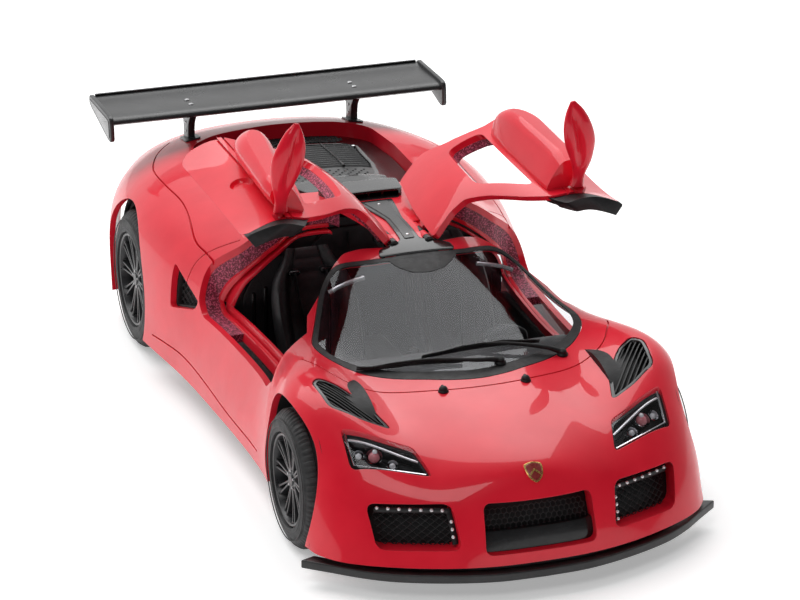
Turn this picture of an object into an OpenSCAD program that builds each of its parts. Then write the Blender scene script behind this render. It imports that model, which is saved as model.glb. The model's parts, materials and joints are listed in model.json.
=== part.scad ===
// Diecast collector car with open gull-wing doors and rolling wheels.
// +X is the car's left, the nose points to -Y, and +Z is up from the ground.
// The origin is at the middle of the footprint, on the ground.

/* [Wheels] */
// Height of the front axle, and radius of the front tyres
front_tyre_r = 13.8; // [12.5:0.1:14.2]
// Height of the rear axle, and radius of the rear tyres
rear_tyre_r = 15.1; // [14:0.1:15.4]
// Distance between the two axles
wheelbase = 112.5; // [111.5:0.5:113.5]
// Overall width at the front splitter
overall_w = 85; // [84.5:0.1:86]
// Overall length from the splitter to the diffuser
overall_l = 185; // [184.5:0.1:186]

/* [Doors] */
// How far the left door stands open, in degrees
left_door_open = 48; // [30:1:52]
// How far the right door stands open, in degrees
right_door_open = 52; // [30:1:52]
// Gap between a closed door and the body
door_gap = 0.4; // [0.35:0.05:0.6]

/* [Shell] */
// Wall thickness of the cast body and doors
wall = 1.3; // [1:0.1:1.5]
// Steps between two control rows of the body surface
row_steps = 2; // [1:1:3]
// Steps between two control lines across the body surface
line_steps = 2; // [1:1:3]

/* [Axles] */
// Radius of the steel axle shafts
shaft_r = 1; // [0.8:0.05:1.2]
// Running clearance around the shafts and the door pins
play = 0.05; // [0.02:0.01:0.09]
// Radius of the plinth screw holes under the base
plinth_hole_r = 1.25; // [1:0.05:1.5]
// Distance between the two plinth screw holes
plinth_hole_pitch = 50; // [40:1:56]

/* [Hidden] */

$fn = 48;
left = 1;
right = -1;
sides = [left, right];
front_y = -55;
rear_y = front_y + wheelbase;
nose_y = -overall_l / 2;
tail_y = overall_l / 2;
front_arch_r = front_tyre_r + 3;
rear_arch_r = rear_tyre_r + 2.5;
hinge_x = 3.75;
hinge_z = 43.9;
knuckle_r = 1.15;
pin_r = 0.5;
base_z = 3.6;
base_t = 2;
base_top = base_z + base_t;
base_front = nose_y + 15;

RED = "firebrick";
BLACK = "dimgray";
DARK = "darkslategray";
STEEL = "silver";
GLASS = "lightblue";
RUBBER = [0.25, 0.25, 0.25];

// Body surface: control rows from nose to tail, each a half section from the centreline to the sill.
body_rows = [
    [[0, -91.6, 6.5], [9, -91.4, 6.5], [17, -89.6, 6.5], [24, -87, 6.5], [30, -84, 6.5],
        [34, -81.5, 6.5], [37, -79, 6.5], [39, -76, 6.5], [40, -74, 6.5], [40.3, -72, 6.5]],
    [[0, -90.6, 12], [9, -90.6, 12], [17, -88.2, 12], [24, -85, 12.5], [31, -81.5, 13],
        [35.5, -78.5, 13], [38.3, -75.5, 12.5], [39.8, -72.5, 11], [40.5, -71, 8.5], [40.7, -69.5, 6.5]],
    [[0, -88.6, 18.5], [9, -88, 18.5], [17, -85.3, 18.5], [24, -82, 19.5], [31, -77.5, 21],
        [35.8, -73.5, 21], [39, -70, 19.5], [40.6, -68, 15.5], [41, -67, 11], [41, -66, 6.5]],
    [[0, -87, 24], [9, -84.5, 23], [17, -81, 22], [24, -77, 23.5], [31, -72, 26.5],
        [36, -68, 27], [39.6, -65, 24.5], [41.2, -63.5, 18.5], [41.4, -63, 12], [41, -62, 6.5]],
    [[0, -78, 26], [10, -76, 26], [19, -73.5, 25.5], [26, -69.5, 28.5], [32, -65, 32],
        [37, -61.5, 32.5], [40.8, -59, 28.5], [41.8, -58, 20], [41.4, -57.5, 12], [41, -57, 6.5]],
    [[0, -66, 28.5], [11, -64, 29], [20, -62, 27.5], [27, -58, 31.5], [32.5, -55, 34.5],
        [37.5, -53, 34], [41, -52, 29], [41.5, -52, 20], [41, -52, 12], [40.5, -52, 6.5]],
    [[0, -52, 30], [12, -50, 30.5], [21, -48, 29.5], [27, -46, 32], [31.5, -44, 34],
        [35.5, -43, 32.5], [38.2, -42.5, 27], [39, -42, 19.5], [39.2, -42, 12], [38.6, -42, 7]],
    [[0, -40, 35], [11, -38.5, 34.8], [20, -36.5, 33.8], [26, -34, 33], [29.8, -32, 32],
        [32.3, -31, 29.5], [34, -31, 25], [35.5, -31, 20.5], [38, -31, 13], [38, -31, 7]],
    [[0, -28, 40], [9, -27, 39.8], [17, -26, 38.8], [23, -24.5, 37], [28.3, -23, 33],
        [30.8, -22, 30], [33, -22, 25.5], [34.8, -22, 20.5], [37.8, -22, 13], [37.9, -22, 7]],
    [[0, -15, 44.8], [8.5, -14.5, 44.7], [16, -14, 44.4], [22, -13, 42], [28.5, -12, 34.5],
        [31, -12, 31], [33, -12, 26.5], [34.8, -12, 21], [38, -12, 13], [38, -12, 7]],
    [[0, -2, 45.3], [8.5, -2, 45.2], [16.5, -2, 44.8], [23, -2, 42], [29.3, -2, 34.8],
        [31.8, -2, 31], [33.6, -2, 27], [35.2, -2, 21], [38.2, -2, 13], [38.3, -2, 7]],
    [[0, 10, 44.6], [9, 10, 44.5], [16.5, 10, 44.1], [23.5, 10, 41], [30, 10, 35],
        [32.6, 10, 31.8], [34.5, 10, 27.5], [36, 10, 21], [38.5, 10, 13], [38.6, 10, 7]],
    [[0, 22, 43.8], [10, 22, 43.4], [17, 22, 42], [24.5, 22, 39.2], [31.5, 22, 35.3],
        [35, 22, 32], [37.3, 22, 27], [38.2, 22, 20.5], [39.2, 22, 13], [39.3, 22, 7]],
    [[0, 36, 42.8], [11, 36, 42.2], [18, 36, 39.5], [25.5, 36, 38.8], [32.5, 36, 36.9],
        [37.5, 36, 33.5], [40.3, 36, 27.5], [41, 36, 20.5], [41, 36, 13], [41, 36, 7]],
    [[0, 52, 42], [12, 52, 41], [19, 52, 38.6], [26, 52, 38.9], [33, 52, 37.6],
        [38.6, 52, 34.5], [41.8, 52, 28], [42.4, 52, 20.5], [42.6, 52, 13], [42.4, 52, 7]],
    [[0, 66, 40.5], [13, 66, 39.8], [20, 66, 38.5], [26.5, 66, 38.2], [33, 66, 36.4],
        [38, 66, 33], [41, 66, 27], [42, 66, 20.5], [42, 66, 13], [41.8, 66, 7]],
    [[0, 80, 40], [13, 80, 39.5], [20.5, 80, 38.4], [26.5, 80, 36.8], [31.5, 80, 34.3],
        [35.5, 80, 31], [38, 80, 26], [38.5, 80, 20], [38.3, 80, 13], [38, 80, 7]],
    [[0, 90.5, 37.2], [12, 90.3, 36.7], [19, 90, 35.6], [25, 89.3, 34], [30, 88, 31.5],
        [33.3, 86.5, 28], [35.2, 85, 24], [35.8, 84.5, 19.5], [35.8, 84, 13], [35.5, 84, 8]]
];

// Outlines seen from above, left side
door_plan = [[4.9, -15.4], [10.8, -14.2], [14.7, -14.5], [18.4, -17.7], [22.7, -22.5], [27, -26],
    [31, -26.5], [34.5, -29], [50, -29], [50, 16], [33, 16], [28, 12], [24, 10.8], [20.3, 10.6],
    [15.4, 13.6], [8.3, 11.2], [6, -4]];
trim_plan = [[22, -21.2], [27, -30], [31, -31], [36, -30], [36, -24], [28, -23]];
window_plan = [[18.6, -13.1], [19.4, 5.6], [26.8, 9], [26, -19.6]];
glass_plan = [[0, -55.8], [6, -55], [15, -51.8], [23.5, -46.5], [27.2, -41.5], [28, -35],
    [25, -28.5], [21.8, -21.5], [17.6, -17], [9, -18.8], [0, -18.6]];
lamp_plan = [[32.7, -68], [32.6, -74.3], [18.4, -80.6], [20.2, -73.7]];
vent_plan = [[32.4, -53.4], [34.4, -55.5], [33.4, -63.5], [28, -67], [22.4, -68.9], [24.5, -61.5],
    [28.8, -55.5]];
engine_plan = [[0, 21], [9, 22], [15, 27], [20.6, 42], [21.6, 60], [20.6, 74], [15, 77.5], [0, 79]];
// Outlines seen from the left side, as [y, z]
door_side = [[-29.5, 60], [-29.5, 25], [-27.5, 22.3], [12.5, 22.8], [15.2, 25], [16, 30], [16, 60]];
intake_side = [[28.2, 29.2], [27, 19.8], [16.5, 22.6], [15.5, 24.6]];
// Outlines seen from the front, as [x, z]
centre_mouth = [[-10.8, 18], [-11.2, 8.6], [11.2, 8.6], [10.8, 18]];
side_mouth = [[16.4, 18], [31.3, 17.6], [30.3, 9.5], [15.4, 9.8]];

// Uniform cubic blend of four control values
function blend(a, b, c, d, t) = ((1 - t) ^ 3 * a + (3 * t ^ 3 - 6 * t ^ 2 + 4) * b
    + (-3 * t ^ 3 + 3 * t ^ 2 + 3 * t + 1) * c + t ^ 3 * d) / 6;
function extended(p) = concat([2 * p[0] - p[1]], p, [2 * p[len(p) - 1] - p[len(p) - 2]]);
function spline(p, n) = let (q = extended(p), m = len(p) - 1)
    [for (i = [0:m - 1], k = [0:n - 1]) blend(q[i], q[i + 1], q[i + 2], q[i + 3], k / n), p[m]];
function whole_row(r) = concat([for (j = [len(r) - 1:-1:1]) [-r[j].x, r[j].y, r[j].z]], r);
function outward(g, i, j) = let (n = len(g) - 1, m = len(g[0]) - 1,
    along = g[min(i + 1, n)][j] - g[max(i - 1, 0)][j],
    across = g[i][min(j + 1, m)] - g[i][max(j - 1, 0)],
    v = cross(across, along)) v / norm(v);

body_grid = [for (r = spline([for (r = body_rows) whole_row(r)], row_steps)) spline(r, line_steps)];
last_i = len(body_grid) - 1;
last_j = len(body_grid[0]) - 1;

// Layer of the body surface between two depths below the paint
module skin(depth_0, depth_1) {
    points = [for (d = [depth_0, depth_1], i = [0:last_i], j = [0:last_j])
        body_grid[i][j] - d * outward(body_grid, i, j)];
    function at(s, i, j) = (s * (last_i + 1) + i) * (last_j + 1) + j;
    cells = [for (i = [0:last_i - 1], j = [0:last_j - 1]) [i, j]];
    top = [for (c = cells) each [[at(0, c[0], c[1]), at(0, c[0] + 1, c[1]), at(0, c[0] + 1, c[1] + 1)],
        [at(0, c[0], c[1]), at(0, c[0] + 1, c[1] + 1), at(0, c[0], c[1] + 1)]]];
    under = [for (f = top) [for (k = [2, 1, 0]) f[k] + (last_i + 1) * (last_j + 1)]];
    loop = concat([for (j = [0:last_j - 1]) [0, j]], [for (i = [0:last_i - 1]) [i, last_j]],
        [for (j = [last_j:-1:1]) [last_i, j]], [for (i = [last_i:-1:1]) [i, 0]]);
    rim = [for (k = [0:len(loop) - 1]) let (a = loop[k], b = loop[(k + 1) % len(loop)])
        each [[at(0, a[0], a[1]), at(0, b[0], b[1]), at(1, b[0], b[1])],
            [at(0, a[0], a[1]), at(1, b[0], b[1]), at(1, a[0], a[1])]]];
    polyhedron(points, concat(top, under, rim));
}

// The children as one mesh, for pieces cut out of the body surface
module meshed() {
    resize([0, 0, 0]) children();
}

// The children on the left side, or their mirror image on the right
module on_side(side) {
    if (side == left) children();
    else mirror([1, 0, 0]) children();
}

// Prisms through the body from outlines seen from above, the side and the front
module plan_prism(outline, grow = 0, from = 4, to = 60) {
    translate([0, 0, from]) linear_extrude(to - from) offset(delta = grow) polygon(outline);
}
module side_prism(outline, grow = 0, from = 0, to = 60) {
    translate([from, 0, 0]) rotate([90, 0, 90]) linear_extrude(to - from)
        offset(delta = grow) polygon(outline);
}
module front_prism(outline, grow = 0, from = -96, to = -60) {
    translate([0, to, 0]) rotate([90, 0, 0]) linear_extrude(to - from)
        offset(delta = grow) polygon(outline);
}
module whole_plan_prism(outline, grow = 0, from = 4, to = 60) {
    mirrored = [for (p = outline) if (p.x > 0) [-p.x, p.y]];
    backwards = [for (i = [len(mirrored) - 1:-1:0]) mirrored[i]];
    plan_prism(concat(outline, backwards), grow, from, to);
}

// Space that a closed door fills, grown by a gap all round
module door_prism(grow = 0) {
    intersection() {
        plan_prism(door_plan, grow);
        side_prism(door_side, grow);
    }
}
// Everything that swings with a door, turned from closed to open about its hinge pin
module on_door(side) {
    open = side == left ? left_door_open : right_door_open;
    on_side(side) translate([hinge_x, 0, hinge_z]) rotate([0, -open, 0])
        translate([-hinge_x, 0, -hinge_z]) children();
}
module x_cylinder(r, from, to, y = 0, z = 0) {
    translate([from, y, z]) rotate([0, 90, 0]) cylinder(r = r, h = to - from);
}
module y_cylinder(r, from, to, x = 0, z = 0) {
    translate([x, from, z]) rotate([-90, 0, 0]) cylinder(r = r, h = to - from);
}
module block(from, to) {
    translate(from) cube(to - from);
}

// Screw posts cast under the body, one near each corner
post_spots = [[14, -72, 26.3], [22.5, 78.2, 36.9]];
post_r = 2.2;
screw_r = 0.8;
head_r = 1.7;
head_h = 0.9;

module body_shell() {
    color(RED) meshed() difference() {
        union() {
            skin(0, wall);
            for (side = sides) on_side(side) {
                for (p = post_spots) translate([p.x, p.y, base_top])
                    cylinder(r = post_r, h = p.z - base_top, $fn = 24);
                // Flange that the closed door rests over
                intersection() {
                    skin(0.6, 4);
                    difference() {
                        door_prism(door_gap + 1.2);
                        door_prism(door_gap);
                    }
                    block([20, 0, 18], [45, 20, 44]);
                }
                intersection() {
                    skin(3, 4);
                    door_prism(door_gap + 1.2);
                    block([20, 9, 18], [45, 20, 44]);
                }
            }
            // Walls of the recess around the engine cover
            intersection() {
                skin(0.6, 5);
                difference() {
                    whole_plan_prism(engine_plan, 1.2);
                    whole_plan_prism(engine_plan, 0, 0, 70);
                }
            }
        }
        whole_plan_prism(glass_plan, 0, 20);
        whole_plan_prism(engine_plan, 0, 30);
        front_prism(centre_mouth);
        for (side = sides) on_side(side) {
            intersection() {
                skin(-1, wall + 1);
                union() {
                    door_prism(door_gap);
                    plan_prism(trim_plan, door_gap, 22.8 - door_gap);
                }
            }
            plan_prism(lamp_plan, 0, 16);
            plan_prism(vent_plan, 0, 24);
            front_prism(side_mouth);
            side_prism(intake_side, 0, 33);
            y_cylinder(knuckle_r + 0.35, -16, -3.5, hinge_x, hinge_z);
            block([hinge_x, -13.9, 41.8], [6.6, -5.7, 46]);
            x_cylinder(front_arch_r, 24, 45, front_y, front_tyre_r);
            x_cylinder(rear_arch_r, 24, 45, rear_y, rear_tyre_r);
            for (p = post_spots) translate([p.x, p.y, base_top - 1])
                cylinder(r = screw_r + 0.1, h = 7, $fn = 16);
        }
    }
}
// Flat base that carries the axles, the cabin and the wheel housings
module chassis_plate() {
    saddle_x = 17;
    saddle_l = 4;
    // Place along the car, height, housing radius and housing top of each axle
    axles = [[front_y, front_tyre_r, front_arch_r, 18.5], [rear_y, rear_tyre_r, rear_arch_r, 40]];
    color(DARK) difference() {
        union() {
            block([-26, base_front, base_z], [26, tail_y - 12, base_top]);
            block([-35, front_y + 20, base_z], [35, rear_y - 20, base_top]);
            for (a = axles, side = sides) {
                on_side(side)
                    block([saddle_x, a[0] - 2.5, base_top], [saddle_x + saddle_l, a[0] + 2.5, a[1] + 2.5]);
                on_side(side) intersection() {
                    difference() {
                        x_cylinder(a[2] - 0.3, 24, 36, a[0], a[1]);
                        x_cylinder(a[2] - 1.1, 25, 37, a[0], a[1]);
                    }
                    block([24, a[0] - 20, base_z], [37, a[0] + 20, a[3]]);
                }
            }
        }
        for (a = axles) {
            x_cylinder(shaft_r + play, -30, 30, a[0], a[1]);
            for (side = sides) on_side(side)
                block([25, a[0] - a[1] - 1.2, base_z - 1], [45, a[0] + a[1] + 1.2, base_top]);
        }
        for (side = sides, p = post_spots) translate([side * p.x, p.y, base_z - 1]) {
            cylinder(r = screw_r + 0.1, h = 4);
            cylinder(r = head_r + 0.1, h = 1 + head_h + 0.1);
        }
        for (s = sides) translate([0, s * plinth_hole_pitch / 2, base_z - 1])
            cylinder(r = plinth_hole_r, h = 4);
    }
}

// Black lip under the nose, swept back to the front wheels
module front_splitter() {
    half = overall_w / 2;
    tip = [[half, -73.5], [38, -77.5], [33, -82], [27, -86], [18, -89.7], [9, -92], [0, nose_y]];
    mirrored = [for (i = [len(tip) - 2:-1:0]) [-tip[i].x, tip[i].y]];
    rear = [[-39.5, -72.3], [-34, base_front], [34, base_front], [39.5, -72.3]];
    outline = concat(tip, mirrored, rear);
    color(BLACK) {
        translate([0, 0, base_z]) linear_extrude(1.8) polygon(outline);
        translate([0, 0, base_z + 1.8]) linear_extrude(1) offset(delta = -2.2) polygon(outline);
    }
}

// Bars of a grille as seen from the front: a lattice turned by an angle
module lattice(reach, pitch, bar, angle) {
    for (a = [angle, -angle], k = [-reach:pitch:reach])
        rotate(a) translate([k, 0]) square([bar, 3 * reach], center = true);
}
module centre_grille() {
    color(BLACK) meshed() {
        intersection() {
            skin(wall + 0.05, 2.6);
            front_prism(centre_mouth, 0.6);
            front_prism([[-12, 8], [-12, 12], [12, 12], [12, 8]]);
        }
        intersection() {
            skin(1.4, 2.4);
            front_prism(centre_mouth, 0.6);
            translate([0, -80, 14.6]) rotate([90, 0, 0]) linear_extrude(20) lattice(12, 3.6, 0.9, 30);
        }
        intersection() {
            skin(2, 2.9);
            front_prism(centre_mouth, 0.6);
        }
    }
}
module side_grille(side) {
    color(BLACK) meshed() on_side(side) {
        intersection() {
            skin(1.4, 2.4);
            front_prism(side_mouth, 0.6);
            translate([23.5, -70, 13.8]) rotate([90, 0, 0]) linear_extrude(25) lattice(10, 3.6, 0.9, 45);
        }
        intersection() {
            skin(2, 2.9);
            front_prism(side_mouth, 0.6);
        }
    }
}

// Lamps: a dark bowl under a clear cover that follows the body surface
module headlight_bowl(side) {
    color(BLACK) meshed() on_side(side) difference() {
        intersection() {
            skin(wall + 0.1, 4);
            plan_prism(lamp_plan, 0.5, 18.8);
        }
        intersection() {
            skin(-1, 3);
            plan_prism(lamp_plan, -0.5, 9);
        }
    }
}
module headlight_lens(side) {
    color(GLASS) meshed() on_side(side) intersection() {
        skin(0.1, 0.9);
        plan_prism(lamp_plan, -0.15, 16);
    }
}
module fender_vent(side) {
    slats = 7;
    color(BLACK) meshed() on_side(side) intersection() {
        plan_prism(vent_plan, -0.15, 20);
        union() {
            skin(1, 2);
            intersection() {
                skin(0.3, 1.2);
                translate([28, -62, 20]) rotate(55) for (k = [0:slats - 1])
                    translate([-12, 1.6 * (k - 3) - 0.4, 0]) cube([24, 0.8, 20]);
            }
        }
    }
}
module windscreen() {
    color(GLASS) meshed() intersection() {
        skin(0.1, 1);
        whole_plan_prism(glass_plan, -0.15, 20);
    }
}

// Black inlay along the roof spine, with a wide T at its front
module roof_strip() {
    color(BLACK) meshed() intersection() {
        skin(-0.5, 0);
        plan_prism([[-7.5, -18.2], [7.5, -18.2], [6, -16.2], [2, -15.6], [1.8, -4], [4, 9], [-4, 9],
            [-1.8, -4], [-2, -15.6], [-6, -16.2]], 0, 38);
    }
}

// One wiper resting on the glass, from its pivot to its tip
module wiper(side) {
    color(BLACK) meshed() on_side(side) {
        pivot = side == left ? [19.4, -49.8] : [-5.8, -51.3];
        tip = side == left ? [-9, -47] : [22.3, -46.4];
        run = tip - pivot;
        intersection() {
            skin(-1, 0);
            translate([pivot.x, pivot.y, 20]) rotate(atan2(run.y, run.x)) {
                translate([0, -0.5, 0]) cube([norm(run), 1, 30]);
                cylinder(r = 1.1, h = 30, $fn = 16);
            }
        }
    }
}
module washer_nozzles() {
    color(BLACK) for (side = sides) translate([side * 8.5, -58.4, 29.55]) {
        cylinder(r = 0.9, h = 0.8);
        translate([0, 0, 0.8]) sphere(r = 0.8);
    }
}
module nose_badge() {
    color("goldenrod") meshed() intersection() {
        skin(-0.5, 0);
        plan_prism([[0, -88], [1.6, -86.8], [1.8, -84.6], [0, -84.2], [-1.8, -84.6], [-1.6, -86.8]], 0, 18);
    }
}
module side_mesh(side) {
    color(BLACK) meshed() on_side(side) intersection() {
        skin(1.4, 2.4);
        side_prism(intake_side, 0.8, 28);
        block([28, 17.8, 10], [45, 40, 40]);
    }
}

// Louvred cover over the engine bay, set down inside its recess
module engine_cover() {
    ribs = 13;
    color(BLACK) meshed() {
        intersection() {
            skin(3.4, 4.4);
            whole_plan_prism(engine_plan, -0.1, 28);
        }
        intersection() {
            skin(2.4, 3.5);
            for (k = [0:ribs - 1]) block([-12.5, 37 + 2.2 * k, 28], [12.5, 38.1 + 2.2 * k, 46]);
        }
        intersection() {
            skin(0.6, 3.5);
            plan_prism([[-9, 24], [9, 24], [11.5, 34], [-11.5, 34]], 0, 28);
        }
    }
}
module intake_scoop() {
    color(BLACK) meshed() difference() {
        intersection() {
            skin(-1.8, 0);
            plan_prism([[-7.2, 11.5], [7.2, 11.5], [8.8, 20.5], [-8.8, 20.5]], 0, 28);
        }
        intersection() {
            skin(-1.1, 0.2);
            plan_prism([[-6.2, 11], [6.2, 11], [7.4, 19], [-7.4, 19]], 0, 28);
        }
    }
}

// Tail: a dark panel with round lamps, a finned diffuser and two centre pipes
tail_plane = 82.2;
lamp_spots = [[27.5, 24.5], [19.5, 26]];
lamp_r = 3.2;
pipe_spots = [[4.6, 23.5], [-4.6, 23.5]];
pipe_r = 2.6;
module tail_panel() {
    outline = [[-33.5, 11], [-33.5, 22], [-31, 27], [-25, 31], [-12, 34], [12, 34], [25, 31], [31, 27],
        [33.5, 22], [33.5, 11]];
    color(DARK) difference() {
        translate([0, tail_plane + 1.2, 0]) rotate([90, 0, 0]) linear_extrude(1.2) polygon(outline);
        for (side = sides, p = lamp_spots) y_cylinder(lamp_r, 80, 86, side * p.x, p.y);
        for (p = pipe_spots) y_cylinder(pipe_r, 80, 86, p.x, p.y);
    }
}
module tail_light(side) {
    color("red") on_side(side) for (p = lamp_spots) {
        y_cylinder(lamp_r, tail_plane - 0.6, tail_plane + 1.8, p.x, p.y);
        y_cylinder(lamp_r * 0.55, tail_plane + 1.8, tail_plane + 2.4, p.x, p.y);
    }
}
module diffuser() {
    fins = 5;
    color(BLACK) {
        block([-26, tail_y - 12, base_z], [26, tail_y, base_top]);
        for (k = [0:fins - 1]) {
            x = -20 + 10 * k;
            block([x - 0.5, tail_y - 9.5, base_top], [x + 0.5, tail_y - 0.5, 9.5]);
        }
        block([-33, tail_plane, 7], [33, tail_plane + 1.2, 11]);
        block([-26, tail_plane, base_top], [26, tail_plane + 1.2, 7]);
    }
}
module exhaust_tips() {
    color(STEEL) for (p = pipe_spots) difference() {
        y_cylinder(pipe_r, tail_plane - 3, tail_plane + 6, p.x, p.y);
        y_cylinder(pipe_r - 0.5, tail_plane - 1, tail_plane + 7, p.x, p.y);
    }
}

// Rear wing on two struts
wing_half = 38;
wing_front = 74.6;
wing_rear = 91.6;
wing_z = 45.2;
module wing_blade() {
    chord = [[wing_front, wing_z - 0.2], [wing_front + 0.5, wing_z + 0.5], [wing_front + 4, wing_z + 1],
        [wing_rear - 4, wing_z + 0.9], [wing_rear, wing_z + 1.3], [wing_rear, wing_z + 0.8],
        [wing_rear - 4, wing_z - 0.2], [wing_front + 5, wing_z - 1], [wing_front + 1, wing_z - 0.8]];
    color(BLACK) translate([-wing_half, 0, 0]) rotate([90, 0, 90])
        linear_extrude(2 * wing_half) polygon(chord);
}
module wing_endplate(side) {
    plate = [[wing_front - 1.2, 41.6], [wing_front - 0.6, 46.4], [wing_front + 1, 46.9], [wing_rear, 46.9],
        [wing_rear, 44.8], [wing_front + 5, 42], [wing_front, 41]];
    color(BLACK) on_side(side) translate([wing_half, 0, 0]) rotate([90, 0, 90])
        linear_extrude(1) polygon(plate);
}
module wing_strut(side) {
    foot = [[77, 44.2], [79, 41], [79.2, 38.3], [83.2, 37.5], [83, 41], [86, 44.7], [79.6, 44.1]];
    color(BLACK) on_side(side) translate([18.2, 0, 0]) rotate([90, 0, 90])
        linear_extrude(1.6) polygon(foot);
}

// Cabin
tub_floor = 7;
module interior_tub() {
    color(DARK) {
        difference() {
            block([-30, -37, base_top], [30, 13, 20]);
            block([-28.8, -35.8, tub_floor], [28.8, 14, 21]);
        }
        block([-3.5, -30, tub_floor], [3.5, 11, 14]);
    }
}
module rear_bulkhead() {
    outline = [[-30, base_top], [-30, 26], [-25, 35], [-15, 40.5], [15, 40.5], [25, 35], [30, 26],
        [30, base_top]];
    color(DARK) translate([0, 14.4, 0]) rotate([90, 0, 0]) linear_extrude(1.2) polygon(outline);
}
module seat(side) {
    squab = [[-24, 8], [-24, 12.5], [-21, 13.8], [-6, 12.5], [1, 15], [9, 36], [12, 36.5], [12.6, 34],
        [8, 16],
        [5, 9], [3, 8]];
    color(BLACK) translate([side * 14.5, 0, 0]) {
        translate([-7, 0, 0]) rotate([90, 0, 90]) linear_extrude(14) polygon(squab);
        for (s = sides) translate([s * 7.2 - 1.4, 0, 0]) rotate([90, 0, 90]) linear_extrude(2.8)
            polygon([[-23, 9], [-22, 15.5], [-6, 15], [0, 19], [5, 30], [8, 30.5], [9.5, 29],
                [6, 16], [3, 9]]);
    }
}
module dashboard() {
    outline = [[-50, 22], [-50, 27.4], [-44, 28.2], [-34, 28], [-32, 26], [-34, 21.5], [-40, 20.2]];
    color(BLACK) {
        translate([-26, 0, 0]) rotate([90, 0, 90]) linear_extrude(52) polygon(outline);
        translate([0, -31.6, 14]) rotate([15, 0, 0]) block([-3.4, 0, 0], [3.4, 3, 9]);
    }
}
module steering_wheel() {
    color(BLACK) translate([14, -29.5, 25]) rotate([-68, 0, 0]) {
        rotate_extrude() translate([5.2, 0]) circle(r = 0.7, $fn = 24);
        for (a = [90, 210, 330]) rotate(a) translate([0.8, -0.6, -0.35]) cube([4.2, 1.2, 0.7]);
        translate([0, 0, -0.8]) cylinder(r = 1.6, h = 1.5);
        translate([0, 0, -4.4]) cylinder(r = 0.8, h = 3.8);
    }
}
module gear_lever() {
    color(BLACK) translate([0, -16, 14]) {
        cylinder(r = 2, h = 0.8);
        cylinder(r = 0.5, h = 6);
        translate([0, 0, 6.4]) sphere(r = 1.3);
    }
}
module base_screws() {
    color(STEEL) for (side = sides, p = post_spots) translate([side * p.x, p.y, 0]) {
        translate([0, 0, base_z]) cylinder(r = head_r, h = head_h);
        translate([0, 0, base_z]) cylinder(r = screw_r, h = 5.6);
    }
}

// Door hinges: each door has two knuckles on a steel pin held by three lugs
knuckle_spans = [[-13.6, -11.2], [-8.4, -6]];
lug_spans = [[-15.4, -13.8], [-11, -8.6], [-5.8, -4.2]];
function arm_top(span) = span == knuckle_spans[0] ? 43.2 : 43.65;
pin_from = -15.4;
pin_to = -4.2;
module hinge_bracket() {
    color(STEEL) difference() {
        union() {
            block([-4.6, pin_from, 41.2], [4.6, pin_to, 42.2]);
            for (side = sides, s = lug_spans) {
                y_cylinder(1, s[0], s[1], side * hinge_x, hinge_z);
                block([side * hinge_x - 0.9, s[0], 41.4], [side * hinge_x + 0.9, s[1], hinge_z - 0.4]);
            }
        }
        for (side = sides) y_cylinder(pin_r, pin_from - 1, pin_to + 1, side * hinge_x, hinge_z);
    }
}
module door_pins() {
    color(STEEL) for (side = sides) y_cylinder(pin_r, pin_from, pin_to, side * hinge_x, hinge_z);
}
module hinge_arm(side) {
    color(RED) on_door(side) difference() {
        union() for (s = knuckle_spans) {
            y_cylinder(1, s[0], s[1], hinge_x, hinge_z);
            block([hinge_x, s[0], arm_top(s) - 0.6], [hinge_x + 4, s[1], arm_top(s)]);
        }
        for (s = knuckle_spans) y_cylinder(pin_r + play, s[0] - 1, s[1] + 1, hinge_x, hinge_z);
    }
}

// Doors, modelled closed and swung open
// The shoulder that stands out of a door between its window and the ledge
shoulder_front = [[26.6, 34.6], [28.6, 35.7], [31.3, 35.1], [32.8, 33.5], [33, 32.2], [29.5, 31.6]];
shoulder_rear = [[27.2, 37], [29.5, 38], [32.2, 37.2], [34, 35.4], [34.4, 32.4], [31, 32.4]];
module shoulder() {
    hull() {
        translate([0, -20.3, 0]) rotate([90, 0, 0]) linear_extrude(0.2) polygon(shoulder_front);
        translate([0, 7.2, 0]) rotate([90, 0, 0]) linear_extrude(0.2) polygon(shoulder_rear);
    }
}
module door_skin(side) {
    color(RED) meshed() on_door(side) difference() {
        union() {
            intersection() {
                skin(0, wall);
                door_prism();
            }
            shoulder();
        }
        plan_prism(window_plan, 0, 30);
        y_cylinder(knuckle_r + 0.1, -16, -3.5, hinge_x, hinge_z);
    }
}
module door_trim(side) {
    color(BLACK) meshed() on_door(side) {
        intersection() {
            skin(wall, wall + 0.9);
            difference() {
                intersection() {
                    door_prism(-0.6);
                    block([26, -30, 22], [40, 14, 40]);
                }
                plan_prism(window_plan, 0, 30);
            }
        }
        intersection() {
            skin(0.5, wall + 0.9);
            difference() {
                plan_prism(trim_plan, 0, 22.8);
                door_prism(0);
            }
        }
        intersection() {
            skin(wall + 0.1, wall + 0.8);
            plan_prism(trim_plan, -0.1, 23);
        }
    }
}
module mirror_pod(side) {
    color(RED) on_door(side) {
        hull() {
            translate([31.2, -25.2, 31.4]) sphere(r = 0.9, $fn = 16);
            translate([36.6, -27.2, 37.6]) sphere(r = 1.2, $fn = 16);
        }
        hull() {
            translate([36.8, -27.2, 37.8]) scale([1, 0.7, 1]) sphere(r = 1.9, $fn = 24);
            translate([39.6, -27.4, 40.6]) scale([1, 0.75, 1]) sphere(r = 2.8, $fn = 24);
            translate([43.6, -27.2, 43]) scale([1, 0.7, 1]) sphere(r = 1.2, $fn = 24);
        }
    }
}

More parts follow.
